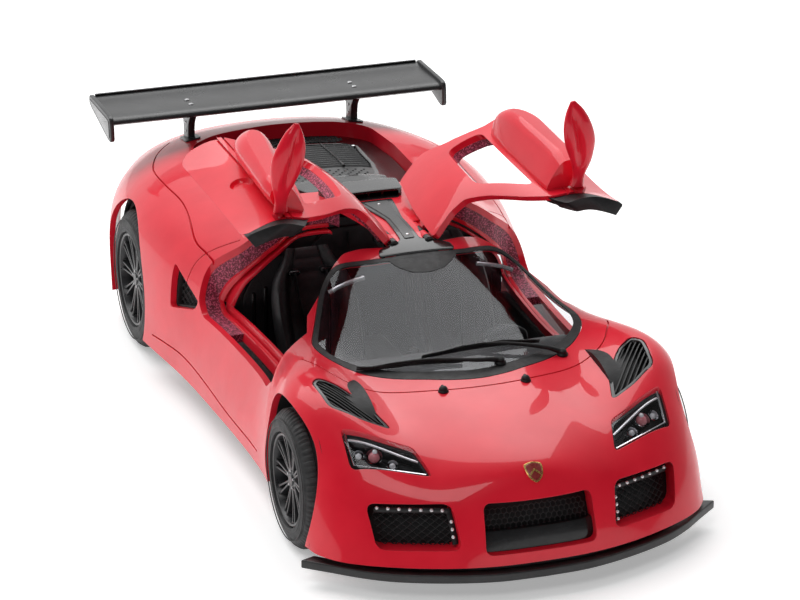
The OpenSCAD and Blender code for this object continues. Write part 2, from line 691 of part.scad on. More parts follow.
// Wheels: steel shafts with pressed-on rims and push-on tyres
rim_face = 39.4;
shaft_reach = 37;
module axle_shaft(y, z) {
    color(STEEL) x_cylinder(shaft_r, -shaft_reach, shaft_reach, y, z);
}
module rim(side, y, z, r, width) {
    pairs = 10;
    color(BLACK) translate([0, y, z]) on_side(side) difference() {
        union() {
            translate([rim_face - width, 0, 0]) rotate([0, 90, 0]) rotate_extrude()
                polygon([[r - 0.9, 0.6], [r, 0], [r, width], [r - 0.7, width], [r - 0.9, width - 0.6]]);
            x_cylinder(2.4, rim_face - 6, rim_face - 1);
            for (k = [0:pairs - 1], s = sides) rotate([360 * k / pairs + s * 6, 0, 0])
                block([rim_face - 2.2, -0.35, 1.6], [rim_face - 1.1, 0.35, r - 0.3]);
        }
        x_cylinder(shaft_r, rim_face - 10, shaft_reach);
    }
}
module tyre(side, y, z, outer, inner, width) {
    face = rim_face + 0.4;
    shoulder = 1.4;
    color(RUBBER) translate([0, y, z]) on_side(side) translate([face - width, 0, 0]) rotate([0, 90, 0])
        rotate_extrude($fn = 96) difference() {
            polygon([[inner, 0.4], [inner + 0.6, 0], [outer - shoulder, 0], [outer, shoulder],
                [outer, width - shoulder], [outer - shoulder, width], [inner + 0.6, width],
                [inner, width - 0.4]]);
            for (k = [-1:1]) translate([outer - 0.4, width / 2 + 2.2 * k - 0.35]) square([1, 0.7]);
        }
}
front_rim_r = 9.4;
rear_rim_r = 10.4;
front_width = 10.4;
rear_width = 13.6;

body_shell();
chassis_plate();
front_splitter();
centre_grille();
side_grille(left);  // side_grille_left
side_grille(right);  // side_grille_right
headlight_bowl(left);  // headlight_bowl_left
headlight_bowl(right);  // headlight_bowl_right
headlight_lens(left);  // headlight_lens_left
headlight_lens(right);  // headlight_lens_right
fender_vent(left);  // fender_vent_left
fender_vent(right);  // fender_vent_right
windscreen();
roof_strip();
wiper(left);  // wiper_left
wiper(right);  // wiper_right
washer_nozzles();
nose_badge();
side_mesh(left);  // side_mesh_left
side_mesh(right);  // side_mesh_right
engine_cover();
intake_scoop();
tail_panel();
tail_light(left);  // tail_light_left
tail_light(right);  // tail_light_right
diffuser();
exhaust_tips();
wing_blade();
wing_endplate(left);  // wing_endplate_left
wing_endplate(right);  // wing_endplate_right
wing_strut(left);  // wing_strut_left
wing_strut(right);  // wing_strut_right
interior_tub();
rear_bulkhead();
seat(left);  // seat_left
seat(right);  // seat_right
dashboard();
steering_wheel();
gear_lever();
base_screws();
hinge_bracket();
door_pins();
door_skin(left);  // door_skin_left
door_skin(right);  // door_skin_right
door_trim(left);  // door_trim_left
door_trim(right);  // door_trim_right
mirror_pod(left);  // mirror_left
mirror_pod(right);  // mirror_right
hinge_arm(left);  // hinge_arm_left
hinge_arm(right);  // hinge_arm_right
axle_shaft(front_y, front_tyre_r);  // front_axle_shaft
rim(left, front_y, front_tyre_r, front_rim_r, front_width);  // front_rim_left
rim(right, front_y, front_tyre_r, front_rim_r, front_width);  // front_rim_right
tyre(left, front_y, front_tyre_r, front_tyre_r, front_rim_r, front_width);  // front_tyre_left
tyre(right, front_y, front_tyre_r, front_tyre_r, front_rim_r, front_width);  // front_tyre_right
axle_shaft(rear_y, rear_tyre_r);  // rear_axle_shaft
rim(left, rear_y, rear_tyre_r, rear_rim_r, rear_width);  // rear_rim_left
rim(right, rear_y, rear_tyre_r, rear_rim_r, rear_width);  // rear_rim_right
tyre(left, rear_y, rear_tyre_r, rear_tyre_r, rear_rim_r, rear_width);  // rear_tyre_left
tyre(right, rear_y, rear_tyre_r, rear_tyre_r, rear_rim_r, rear_width);  // rear_tyre_right
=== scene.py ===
"""Looks for the diecast collector car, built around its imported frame.

Shapes are worked out in millimetres, in the frame's own axes (+X the car's left, -Y its nose, +Z up), and are
scaled to metres once, when a mesh is made.
"""
import json
import math

import bmesh
import bpy
import numpy as np
from mathutils import Matrix, Vector, kdtree


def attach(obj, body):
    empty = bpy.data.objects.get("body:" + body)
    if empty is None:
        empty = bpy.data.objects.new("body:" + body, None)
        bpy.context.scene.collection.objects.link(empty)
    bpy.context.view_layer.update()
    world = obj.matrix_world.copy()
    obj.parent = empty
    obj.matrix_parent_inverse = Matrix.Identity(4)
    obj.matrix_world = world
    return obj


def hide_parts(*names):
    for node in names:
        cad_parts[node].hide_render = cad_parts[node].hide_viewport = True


MM = 0.001
LEFT, RIGHT = 1, -1
SIDES = (LEFT, RIGHT)
SIDE_NAME = {LEFT: "left", RIGHT: "right"}
MIRROR = Matrix.Diagonal((-1, 1, 1, 1))

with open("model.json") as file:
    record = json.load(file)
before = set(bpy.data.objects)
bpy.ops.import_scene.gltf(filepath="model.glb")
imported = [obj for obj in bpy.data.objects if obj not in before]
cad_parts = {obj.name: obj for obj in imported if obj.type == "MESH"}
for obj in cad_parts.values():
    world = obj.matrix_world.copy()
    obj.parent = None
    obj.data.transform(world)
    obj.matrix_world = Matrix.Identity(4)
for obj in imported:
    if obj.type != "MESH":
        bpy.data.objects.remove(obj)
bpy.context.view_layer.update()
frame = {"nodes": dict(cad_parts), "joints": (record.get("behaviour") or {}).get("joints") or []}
JOINTS = {j["name"]: j for j in frame["joints"]}


def joint_place(name):
    """A joint's place in millimetres."""
    return np.array(JOINTS[name]["pos_m"]) / MM


FRONT_HUB = joint_place("front_wheels_roll")
REAR_HUB = joint_place("rear_wheels_roll")
HINGE_X, _, HINGE_Z = joint_place("door_left_swing")
DOOR_OPEN = {LEFT: JOINTS["door_left_swing"]["range_deg"][1],
             RIGHT: JOINTS["door_right_swing"]["range_deg"][1]}
FRONT_ARCH_R = FRONT_HUB[2] + 3
REAR_ARCH_R = REAR_HUB[2] + 2.5
WALL = 1.3
DOOR_GAP = 0.4


# ---------------------------------------------------------------- body surface

# Control rows from nose to tail, each a half section from the centreline to the sill
BODY_ROWS = np.array([
    [[0, -91.6, 6.5], [9, -91.4, 6.5], [17, -89.6, 6.5], [24, -87, 6.5], [30, -84, 6.5],
     [34, -81.5, 6.5], [37, -79, 6.5], [39, -76, 6.5], [40, -74, 6.5], [40.3, -72, 6.5]],
    [[0, -90.6, 12], [9, -90.6, 12], [17, -88.2, 12], [24, -85, 12.5], [31, -81.5, 13],
     [35.5, -78.5, 13], [38.3, -75.5, 12.5], [39.8, -72.5, 11], [40.5, -71, 8.5], [40.7, -69.5, 6.5]],
    [[0, -88.6, 18.5], [9, -88, 18.5], [17, -85.3, 18.5], [24, -82, 19.5], [31, -77.5, 21],
     [35.8, -73.5, 21], [39, -70, 19.5], [40.6, -68, 15.5], [41, -67, 11], [41, -66, 6.5]],
    [[0, -87, 24], [9, -84.5, 23], [17, -81, 22], [24, -77, 23.5], [31, -72, 26.5],
     [36, -68, 27], [39.6, -65, 24.5], [41.2, -63.5, 18.5], [41.4, -63, 12], [41, -62, 6.5]],
    [[0, -78, 26], [10, -76, 26], [19, -73.5, 25.5], [26, -69.5, 28.5], [32, -65, 32],
     [37, -61.5, 32.5], [40.8, -59, 28.5], [41.8, -58, 20], [41.4, -57.5, 12], [41, -57, 6.5]],
    [[0, -66, 28.5], [11, -64, 29], [20, -62, 27.5], [27, -58, 31.5], [32.5, -55, 34.5],
     [37.5, -53, 34], [41, -52, 29], [41.5, -52, 20], [41, -52, 12], [40.5, -52, 6.5]],
    [[0, -52, 30], [12, -50, 30.5], [21, -48, 29.5], [27, -46, 32], [31.5, -44, 34],
     [35.5, -43, 32.5], [38.2, -42.5, 27], [39, -42, 19.5], [39.2, -42, 12], [38.6, -42, 7]],
    [[0, -40, 35], [11, -38.5, 34.8], [20, -36.5, 33.8], [26, -34, 33], [29.8, -32, 32],
     [32.3, -31, 29.5], [34, -31, 25], [35.5, -31, 20.5], [38, -31, 13], [38, -31, 7]],
    [[0, -28, 40], [9, -27, 39.8], [17, -26, 38.8], [23, -24.5, 37], [28.3, -23, 33],
     [30.8, -22, 30], [33, -22, 25.5], [34.8, -22, 20.5], [37.8, -22, 13], [37.9, -22, 7]],
    [[0, -15, 44.8], [8.5, -14.5, 44.7], [16, -14, 44.4], [22, -13, 42], [28.5, -12, 34.5],
     [31, -12, 31], [33, -12, 26.5], [34.8, -12, 21], [38, -12, 13], [38, -12, 7]],
    [[0, -2, 45.3], [8.5, -2, 45.2], [16.5, -2, 44.8], [23, -2, 42], [29.3, -2, 34.8],
     [31.8, -2, 31], [33.6, -2, 27], [35.2, -2, 21], [38.2, -2, 13], [38.3, -2, 7]],
    [[0, 10, 44.6], [9, 10, 44.5], [16.5, 10, 44.1], [23.5, 10, 41], [30, 10, 35],
     [32.6, 10, 31.8], [34.5, 10, 27.5], [36, 10, 21], [38.5, 10, 13], [38.6, 10, 7]],
    [[0, 22, 43.8], [10, 22, 43.4], [17, 22, 42], [24.5, 22, 39.2], [31.5, 22, 35.3],
     [35, 22, 32], [37.3, 22, 27], [38.2, 22, 20.5], [39.2, 22, 13], [39.3, 22, 7]],
    [[0, 36, 42.8], [11, 36, 42.2], [18, 36, 39.5], [25.5, 36, 38.8], [32.5, 36, 36.9],
     [37.5, 36, 33.5], [40.3, 36, 27.5], [41, 36, 20.5], [41, 36, 13], [41, 36, 7]],
    [[0, 52, 42], [12, 52, 41], [19, 52, 38.6], [26, 52, 38.9], [33, 52, 37.6],
     [38.6, 52, 34.5], [41.8, 52, 28], [42.4, 52, 20.5], [42.6, 52, 13], [42.4, 52, 7]],
    [[0, 66, 40.5], [13, 66, 39.8], [20, 66, 38.5], [26.5, 66, 38.2], [33, 66, 36.4],
     [38, 66, 33], [41, 66, 27], [42, 66, 20.5], [42, 66, 13], [41.8, 66, 7]],
    [[0, 80, 40], [13, 80, 39.5], [20.5, 80, 38.4], [26.5, 80, 36.8], [31.5, 80, 34.3],
     [35.5, 80, 31], [38, 80, 26], [38.5, 80, 20], [38.3, 80, 13], [38, 80, 7]],
    [[0, 90.5, 37.2], [12, 90.3, 36.7], [19, 90, 35.6], [25, 89.3, 34], [30, 88, 31.5],
     [33.3, 86.5, 28], [35.2, 85, 24], [35.8, 84.5, 19.5], [35.8, 84, 13], [35.5, 84, 8]],
], dtype=float)
NET = np.concatenate([BODY_ROWS[:, :0:-1] * [-1, 1, 1], BODY_ROWS], axis=1)
LAST_U, LAST_V = NET.shape[0] - 1, NET.shape[1] - 1


def spline_terms(count, t, slope=False):
    """The first control index and the four weights of a uniform cubic spline at each t, or of its slope."""
    i = np.clip(np.floor(t).astype(int), 0, count - 2)
    s = t - i
    if slope:
        terms = (-(1 - s) ** 2 / 2, (3 * s ** 2 - 4 * s) / 2, (-3 * s ** 2 + 2 * s + 1) / 2, s ** 2 / 2)
    else:
        terms = ((1 - s) ** 3 / 6, (3 * s ** 3 - 6 * s ** 2 + 4) / 6, (-3 * s ** 3 + 3 * s ** 2 + 3 * s + 1) /
                 6, s ** 3 / 6)
    return i, terms


def extended(points):
    """Control points with one more at each end, so that the spline starts and ends on the given ones."""
    return np.concatenate([[2 * points[0] - points[1]], points, [2 * points[-1] - points[-2]]])


WIDE_NET = np.swapaxes(extended(np.swapaxes(extended(NET), 0, 1)), 0, 1)


def surface(u, v, du=False, dv=False):
    """Points of the body surface, or its slopes, at matching arrays of row and line numbers."""
    iu, wu = spline_terms(LAST_U + 1, u, du)
    iv, wv = spline_terms(LAST_V + 1, v, dv)
    total = np.zeros(np.shape(u) + (3,))
    for a in range(4):
        for b in range(4):
            total += (wu[a] * wv[b])[..., None] * WIDE_NET[iu + a, iv + b]
    return total


def outward(u, v):
    """Unit normals of the body surface, pointing out of the car."""
    n = np.cross(surface(u, v, dv=True), surface(u, v, du=True))
    return n / np.linalg.norm(n, axis=-1, keepdims=True)


def seeds():
    """A search tree over a coarse grid of the body surface."""
    us, vs = np.meshgrid(np.arange(0, LAST_U + 0.01, 0.25), np.arange(0, LAST_V + 0.01, 0.25), indexing="ij")
    us, vs = us.ravel(), vs.ravel()
    tree = kdtree.KDTree(len(us))
    for k, p in enumerate(surface(us, vs)):
        tree.insert(p, k)
    tree.balance()
    return tree, us, vs


SEEDS = seeds()


def foot(points):
    """Row and line numbers of the body surface points nearest to some points."""
    tree, us, vs = SEEDS
    near = np.array([tree.find(p)[1] for p in points])
    u, v = us[near].copy(), vs[near].copy()
    for _ in range(4):
        gap = points - surface(u, v)
        a, b = surface(u, v, du=True), surface(u, v, dv=True)
        aa, ab, bb = (a * a).sum(1), (a * b).sum(1), (b * b).sum(1)
        ga, gb = (gap * a).sum(1), (gap * b).sum(1)
        det = np.maximum(aa * bb - ab * ab, 1e-9)
        u = np.clip(u + np.clip((ga * bb - gb * ab) / det, -0.5, 0.5), 0, LAST_U)
        v = np.clip(v + np.clip((gb * aa - ga * ab) / det, -0.5, 0.5), 0, LAST_V)
    return u, v


def drop(points, axis):
    """The body surface points that match 2-D points seen along an axis, and the normals there.

    The view is from above along z, from the front along y, and from the left side along x.
    """
    keep = {"x": [1, 2], "y": [0, 2], "z": [0, 1]}[axis]
    away = {"x": [60, 0, 0], "y": [0, -110, 0], "z": [0, 0, 60]}[axis]
    points = np.atleast_2d(np.asarray(points, float))
    _, us, vs = SEEDS
    grid = surface(us, vs)
    good = outward(us, vs) @ np.sign(np.array(away, float)) > 0.05
    good &= (grid[:, 0] > 0) if axis == "x" else True
    chosen = np.where(good)[0]
    near = chosen[((grid[chosen][:, keep][None] - points[:, None]) ** 2).sum(2).argmin(1)]
    u, v = us[near].copy(), vs[near].copy()
    for _ in range(8):
        gap = points - surface(u, v)[:, keep]
        a, b = surface(u, v, du=True)[:, keep], surface(u, v, dv=True)[:, keep]
        det = a[:, 0] * b[:, 1] - a[:, 1] * b[:, 0]
        det = np.where(np.abs(det) < 1e-6, 1e-6, det)
        u = np.clip(u + np.clip((gap[:, 0] * b[:, 1] - gap[:, 1] * b[:, 0]) / det, -0.4, 0.4), 0, LAST_U)
        v = np.clip(v + np.clip((gap[:, 1] * a[:, 0] - gap[:, 0] * a[:, 1]) / det, -0.4, 0.4), 0, LAST_V)
    return surface(u, v), outward(u, v)


# ---------------------------------------------------------------- outlines

def chain(*parts):
    """Point lists joined into one array."""
    return np.concatenate([np.atleast_2d(np.array(p, float)) for p in parts])


def rounded(outline, radius, steps=6):
    """A closed outline with its corners turned into arcs, tighter where an edge is short."""
    p = np.array(outline, float)
    made = []
    for k in range(len(p)):
        before, here, after = p[k - 1], p[k], p[(k + 1) % len(p)]
        a, b = before - here, after - here
        la, lb = np.linalg.norm(a), np.linalg.norm(b)
        cut = min(radius, la * 0.45, lb * 0.45)
        start, end = here + a / la * cut, here + b / lb * cut
        for t in np.linspace(0, 1, steps + 1):
            made.append((1 - t) ** 2 * start + 2 * t * (1 - t) * here + t * t * end)
    return np.array(made)


def area(outline):
    """An outline's area, negative where it runs clockwise."""
    x, y = np.array(outline, float).T
    return 0.5 * np.sum(x * np.roll(y, -1) - np.roll(x, -1) * y)


def grown(outline, by):
    """A closed outline moved outwards by a distance, or inwards where it is negative."""
    p = np.array(outline, float)
    if by == 0:
        return p
    turn = np.sign(area(p))
    made = []
    for k in range(len(p)):
        a, b = p[k] - p[k - 1], p[(k + 1) % len(p)] - p[k]
        na = np.array([a[1], -a[0]]) / max(np.linalg.norm(a), 1e-9) * turn
        nb = np.array([b[1], -b[0]]) / max(np.linalg.norm(b), 1e-9) * turn
        both = na + nb
        made.append(p[k] + both * by / max(1 + na @ nb, 0.4))
    return np.array(made)


def shrunk(outline, by):
    """A closed outline moved inwards, without the small loops that tight corners would leave."""
    p, made = np.array(outline, float), grown(outline, -by)
    run = np.roll(p, -1, 0) - p
    reach = np.maximum((run * run).sum(1), 1e-12)
    share = np.clip(((made[:, None] - p) * run).sum(2) / reach, 0, 1)
    gap = np.linalg.norm(made[:, None] - p - share[:, :, None] * run, axis=2).min(1)
    return made[gap > by * 0.97]


def whole(half):
    """A closed outline from its left half, which starts and ends on the centreline."""
    half = np.array(half, float)
    other = half[half[:, 0] > 0.01][::-1] * [-1, 1]
    return np.concatenate([half, other])


def flipped(outline):
    """An outline's mirror image on the other side of the centreline."""
    return np.array(outline, float)[::-1] * [-1, 1]


def curve(points, steps=8, closed=False):
    """A smooth line through points, as many steps between each two."""
    p = np.array(points, float)
    q = np.concatenate([p[-1:], p, p[:2]]) if closed else np.concatenate([[2 * p[0] - p[1]], p,
                                                                          [2 * p[-1] - p[-2]]])
    spans = len(p) if closed else len(p) - 1
    made = []
    for k in range(spans):
        a, b, c, d = q[k:k + 4]
        for t in np.arange(steps) / steps:
            made.append(0.5 * (2 * b + (c - a) * t + (2 * a - 5 * b + 4 * c - d) * t ** 2
                               + (3 * b - a - 3 * c + d) * t ** 3))
    return np.array(made if closed else made + [p[-1]])


def ribbon(points, width):
    """A thin closed outline along an open line."""
    p = np.array(points, float)
    run = np.gradient(p, axis=0)
    side = np.stack([run[:, 1], -run[:, 0]], 1)
    side /= np.linalg.norm(side, axis=1, keepdims=True)
    return np.concatenate([p + side * width / 2, (p - side * width / 2)[::-1]])


# ---------------------------------------------------------------- mesh tools

def mesh_object(verts, faces, materials=()):
    """A mesh from points in millimetres, linked to the scene."""
    me = bpy.data.meshes.new("shape")
    me.from_pydata((np.asarray(verts, float) * MM).tolist(), [], [tuple(int(i) for i in f) for f in faces])
    for m in materials:
        me.materials.append(m)
    ob = bpy.data.objects.new("shape", me)
    bpy.context.scene.collection.objects.link(ob)
    return ob


def outward_faces(ob):
    """Turns an object's faces so that they point out of it."""
    bm = bmesh.new()
    bm.from_mesh(ob.data)
    bmesh.ops.recalc_face_normals(bm, faces=bm.faces)
    bm.to_mesh(ob.data)
    bm.free()
    return ob


def discard(ob):
    """Deletes an object and its mesh."""
    me = ob.data
    bpy.data.objects.remove(ob, do_unlink=True)
    if me.users == 0:
        bpy.data.meshes.remove(me)


def settle(ob):
    """Applies an object's modifiers to its mesh."""
    old = ob.data
    made = bpy.data.meshes.new_from_object(ob.evaluated_get(bpy.context.evaluated_depsgraph_get()))
    ob.modifiers.clear()
    ob.data = made
    bpy.data.meshes.remove(old)
    return ob


def combine(ob, tool, how):
    """An object joined with, cut by or kept inside another one, which is used up."""
    m = ob.modifiers.new("combine", "BOOLEAN")
    m.operation, m.solver, m.object = how, "MANIFOLD", tool
    settle(ob)
    discard(tool)
    if len(ob.data.polygons) == 0:
        raise ValueError(f"nothing is left after {how}")
    return ob


def plus(ob, *tools):
    """An object with others joined on."""
    for t in tools:
        combine(ob, t, "UNION")
    return ob


def minus(ob, *tools):
    """An object with others cut away."""
    for t in tools:
        combine(ob, t, "DIFFERENCE")
    return ob


def inside(ob, *tools):
    """The part of an object that lies inside all the others."""
    for t in tools:
        combine(ob, t, "INTERSECT")
    return ob


def lift(outline, axis, at):
    """2-D points as 3-D points at a place along an axis."""
    p = np.array(outline, float)
    c = np.full(len(p), float(at))
    return {"z": np.stack([p[:, 0], p[:, 1], c], 1), "y": np.stack([p[:, 0], c, p[:, 1]], 1),
            "x": np.stack([c, p[:, 0], p[:, 1]], 1)}[axis]


def prism(outline, axis, lo, hi):
    """A straight bar of an outline, from one place to another along an axis."""
    n = len(outline)
    verts = np.concatenate([lift(outline, axis, lo), lift(outline, axis, hi)])
    faces = [[k, (k + 1) % n, n + (k + 1) % n, n + k] for k in range(n)]
    faces += [list(range(n))[::-1], [n + k for k in range(n)]]
    return outward_faces(mesh_object(verts, faces))


def several(outlines, axis, lo, hi):
    """Prisms that don't touch each other, as one object."""
    return joined([prism(o, axis, lo, hi) for o in outlines])


def box(lo, hi, bevel=0.0):
    """A block between two corners, with its edges rounded off."""
    lo, hi = np.minimum(lo, hi), np.maximum(lo, hi)
    ob = prism([(lo[0], lo[1]), (hi[0], lo[1]), (hi[0], hi[1]), (lo[0], hi[1])], "z", lo[2], hi[2])
    return bevelled(ob, bevel) if bevel else ob


def bevelled(ob, width, segments=2):
    """An object with its sharp edges rounded off."""
    m = ob.modifiers.new("bevel", "BEVEL")
    m.width, m.segments, m.limit_method, m.angle_limit = width * MM, segments, "ANGLE", math.radians(35)
    m.harden_normals = False
    return settle(ob)


def lathe(profile, centre, axis, steps, closed=True, materials=(), wave=None):
    """A profile of (along, radius) points turned round an axis. wave(angle, k) adds to a radius."""
    prof = np.array(profile, float)
    n = len(prof)
    verts, faces = [], []
    for s in range(steps):
        a = 2 * math.pi * s / steps
        for k, (along, r) in enumerate(prof):
            extra = wave(a, k) if wave else 0.0
            c, d = (r + extra) * math.cos(a), (r + extra) * math.sin(a)
            verts.append({"x": (along, c, d), "y": (c, along, d), "z": (c, d, along)}[axis])
    for s in range(steps):
        t = (s + 1) % steps
        for k in range(n if closed else n - 1):
            j = (k + 1) % n
            faces.append([s * n + k, s * n + j, t * n + j, t * n + k])
    ob = mesh_object(np.array(verts) + np.array(centre, float), faces, materials)
    if not closed:
        cap_ends(ob)
    return outward_faces(ob)


def cap_ends(ob):
    """Closes the open rims of a mesh and welds points that meet."""
    bm = bmesh.new()
    bm.from_mesh(ob.data)
    bmesh.ops.remove_doubles(bm, verts=bm.verts, dist=1e-7)
    bmesh.ops.holes_fill(bm, edges=[e for e in bm.edges if e.is_boundary])
    bm.to_mesh(ob.data)
    bm.free()


def loft(rings, loop=False):
    """A skin over closed rings that have the same number of points."""
    rings = np.array(rings, float)
    m, n = rings.shape[:2]
    faces = []
    for i in range(m if loop else m - 1):
        j = (i + 1) % m
        for k in range(n):
            after = (k + 1) % n
            faces.append([i * n + k, i * n + after, j * n + after, j * n + k])
    if not loop:
        faces += [list(range(n))[::-1], [(m - 1) * n + k for k in range(n)]]
    return outward_faces(mesh_object(rings.reshape(-1, 3), faces))


def tube(path, radius, sides=10, loop=False, flat=1.0, up=(0, 0, 1)):
    """A round or flattened bar along a path. radius may be a list, one for each point."""
    p = np.array(path, float)
    r = np.full(len(p), radius) if np.isscalar(radius) else np.array(radius, float)
    run = np.roll(p, -1, 0) - np.roll(p, 1, 0) if loop else np.gradient(p, axis=0)
    run /= np.linalg.norm(run, axis=1, keepdims=True)
    rings = []
    for k in range(len(p)):
        a = np.cross(run[k], up)
        a = a / np.linalg.norm(a) if np.linalg.norm(a) > 1e-3 else np.array([1.0, 0, 0])
        b = np.cross(a, run[k])
        t = np.linspace(0, 2 * math.pi, sides, endpoint=False)
        rings.append(p[k] + r[k] * (np.outer(np.cos(t), a) + flat * np.outer(np.sin(t), b)))
    return loft(rings, loop=loop)


def ball(centre, radius, scale=(1, 1, 1), materials=(), detail=20):
    """A round or squashed ball."""
    t = np.linspace(0, math.pi, detail // 2 + 1)
    profile = [(-math.cos(a), max(math.sin(a), 0.0)) for a in t]
    ob = lathe(profile, (0, 0, 0), "z", detail, closed=False, materials=materials)
    ob.data.transform(Matrix.Diagonal((*[radius * s for s in scale], 1)))
    ob.data.transform(Matrix.Translation(Vector(centre) * MM))
    return ob


def disc(centre, radius, axis, half, bevel=0.0, steps=48):
    """A short cylinder centred on a point."""
    e = min(bevel, half * 0.9)
    prof = [(-half, 0), (-half, radius - e), (-half + e, radius), (half - e, radius), (half, radius - e),
            (half, 0)]
    return lathe(prof, centre, axis, steps, closed=False)


def moved(ob, matrix):
    """Moves a mesh by a matrix whose shift is in millimetres, and turns its faces if the matrix mirrors."""
    m = matrix.copy()
    m.translation = m.translation * MM
    ob.data.transform(m)
    if m.determinant() < 0:
        ob.data.flip_normals()
    return ob


def turned(ob, angle, axis, centre=(0, 0, 0)):
    """An object turned by degrees about an axis through a centre."""
    c = Matrix.Translation(centre)
    return moved(ob, c @ Matrix.Rotation(math.radians(angle), 4, axis) @ c.inverted())


def mirrored(ob):
    """An object moved to the other side of the car as its mirror image."""
    return moved(ob, MIRROR)


def on_side(ob, side):
    """A shape made for the left side, mirrored if it is for the right."""
    return mirrored(ob) if side == RIGHT else ob


def joined(objects):
    """Several objects as one, with their materials kept."""
    first = objects[0]
    bm = bmesh.new()
    slots = []
    for ob in objects:
        start = len(bm.faces)
        bm.from_mesh(ob.data)
        bm.faces.ensure_lookup_table()
        index = []
        for m in ob.data.materials:
            if m not in slots:
                slots.append(m)
            index.append(slots.index(m))
        for f in bm.faces[start:]:
            f.material_index = index[f.material_index] if index else 0
    first.data.materials.clear()
    for m in slots:
        first.data.materials.append(m)
    bm.to_mesh(first.data)
    bm.free()
    for ob in objects[1:]:
        discard(ob)
    return first


def layer(near, deep, u=(0, LAST_U), v=(0, LAST_V), density=8):
    """A closed layer of the body surface between two depths below the paint."""
    us = np.linspace(u[0], u[1], max(2, int(math.ceil((u[1] - u[0]) * density)) + 1))
    vs = np.linspace(v[0], v[1], max(2, int(math.ceil((v[1] - v[0]) * density)) + 1))
    uu, vv = np.meshgrid(us, vs, indexing="ij")
    p, n = surface(uu, vv), outward(uu, vv)
    verts = np.concatenate([(p - near * n).reshape(-1, 3), (p - deep * n).reshape(-1, 3)])
    a, b = len(us), len(vs)
    i, j = np.meshgrid(np.arange(a - 1), np.arange(b - 1), indexing="ij")
    q = (i * b + j).ravel()
    top = np.stack([q, q + 1, q + b + 1, q + b], 1)
    under = top[:, ::-1] + a * b
    rim = ([j for j in range(b)] + [i * b + b - 1 for i in range(1, a)] +
           [(a - 1) * b + j for j in range(b - 2, -1, -1)] + [i * b for i in range(a - 2, 0, -1)])
    walls = [[rim[k], rim[(k + 1) % len(rim)], rim[(k + 1) % len(rim)] + a * b, rim[k] + a * b]
             for k in range(len(rim))]
    ob = mesh_object(verts, np.concatenate([top, under, np.array(walls)]))
    ob.data.flip_normals()
    return outward_faces(ob)


def window(outline, axis, margin):
    """The rows and lines of the body surface that an outline covers, with a margin in millimetres."""
    ring = np.concatenate([grown(outline, margin), np.array(outline, float), [np.mean(outline, 0)]])
    p, _ = drop(ring, axis)
    u, v = foot(p)
    return (max(u.min() - 0.15, 0), min(u.max() + 0.15, LAST_U)), (max(v.min() - 0.15, 0),
                                                                   min(v.max() + 0.15, LAST_V))


# How far a prism along each axis has to reach to pass through the shell
REACH = {"z": (2, 60), "y": (-97, -55), "x": (20, 60)}
# Degrees: edges sharper than the first stay sharp, faces within the second of the body surface follow it
SHARP_ANGLE = 32
FOLLOW_ANGLE = 22


def patch(outline, near, deep, axis="z", density=14, hole=None):
    """The part of a surface layer that lies inside an outline, with an optional hole."""
    u, v = window(outline, axis, max(deep, 1.0))
    lo, hi = REACH[axis]
    ob = inside(layer(near, deep, u, v, density), prism(outline, axis, lo, hi))
    return minus(ob, prism(hole, axis, lo - 1, hi + 1)) if hole is not None else ob


def lay_normals(ob):
    """Shades a mesh smoothly, with the body surface's own normals where its faces follow it."""
    me = ob.data
    me.polygons.foreach_set("use_smooth", [True] * len(me.polygons))
    me.set_sharp_from_angle(angle=math.radians(SHARP_ANGLE))
    co = np.empty(len(me.vertices) * 3)
    me.vertices.foreach_get("co", co)
    co = co.reshape(-1, 3) / MM
    n = outward(*foot(co))
    loops = np.empty(len(me.loops), dtype=int)
    me.loops.foreach_get("vertex_index", loops)
    auto = np.empty(len(me.loops) * 3)
    me.corner_normals.foreach_get("vector", auto)
    auto = auto.reshape(-1, 3)
    face = np.empty(len(me.polygons) * 3)
    me.polygons.foreach_get("normal", face)
    totals = np.empty(len(me.polygons), dtype=int)
    me.polygons.foreach_get("loop_total", totals)
    face = np.repeat(face.reshape(-1, 3), totals, axis=0)
    lean = (face * n[loops]).sum(1)
    along = np.abs(lean) > math.cos(math.radians(FOLLOW_ANGLE))
    normals = np.where(along[:, None], n[loops] * np.sign(lean)[:, None], auto)
    me.normals_split_custom_set(normals.tolist())
    return ob


def shade(ob, angle):
    """Shades a mesh smoothly, except over edges sharper than an angle in degrees."""
    ob.data.polygons.foreach_set("use_smooth", [True] * len(ob.data.polygons))
    ob.data.set_sharp_from_angle(angle=math.radians(angle))
    return ob


def open_door(side):
    """The matrix that swings a closed door to where it rests."""
    c = Matrix.Translation((side * HINGE_X, 0, HINGE_Z))
    return c @ Matrix.Rotation(math.radians(-side * DOOR_OPEN[side]), 4, "Y") @ c.inverted()


def piece(name, objects, material=None, body="root", replaces=None, follow=False, side=None,
          door=False, angle=35):
    """One finished piece: its parts joined, put on its side, shaded, and given to a body of the frame.

    Shapes come in as the left side's, closed. side mirrors them to the right, and door swings them open.
    """
    ob = joined(list(objects)) if isinstance(objects, (list, tuple)) else objects
    if material is not None:
        ob.data.materials.clear()
        ob.data.materials.append(material)
    on_side(ob, side)
    lay_normals(ob) if follow else shade(ob, angle)
    if door:
        moved(ob, open_door(side))
    ob.name = ob.data.name = name
    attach(ob, body)
    if replaces:
        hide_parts(replaces)


# ---------------------------------------------------------------- materials

# Share by which a finish's roughness varies, and the size in millimetres of smudges on clear plastic
ROUGH_SPREAD = 0.15
SMUDGE_SIZE = 6


def new_node(nodes, kind, inputs=None, **settings):
    """A shader node with some of its inputs and settings filled in."""
    n = nodes.new(kind)
    for key, value in settings.items():
        setattr(n, key, value)
    for key, value in (inputs or {}).items():
        n.inputs[key].default_value = value
    return n


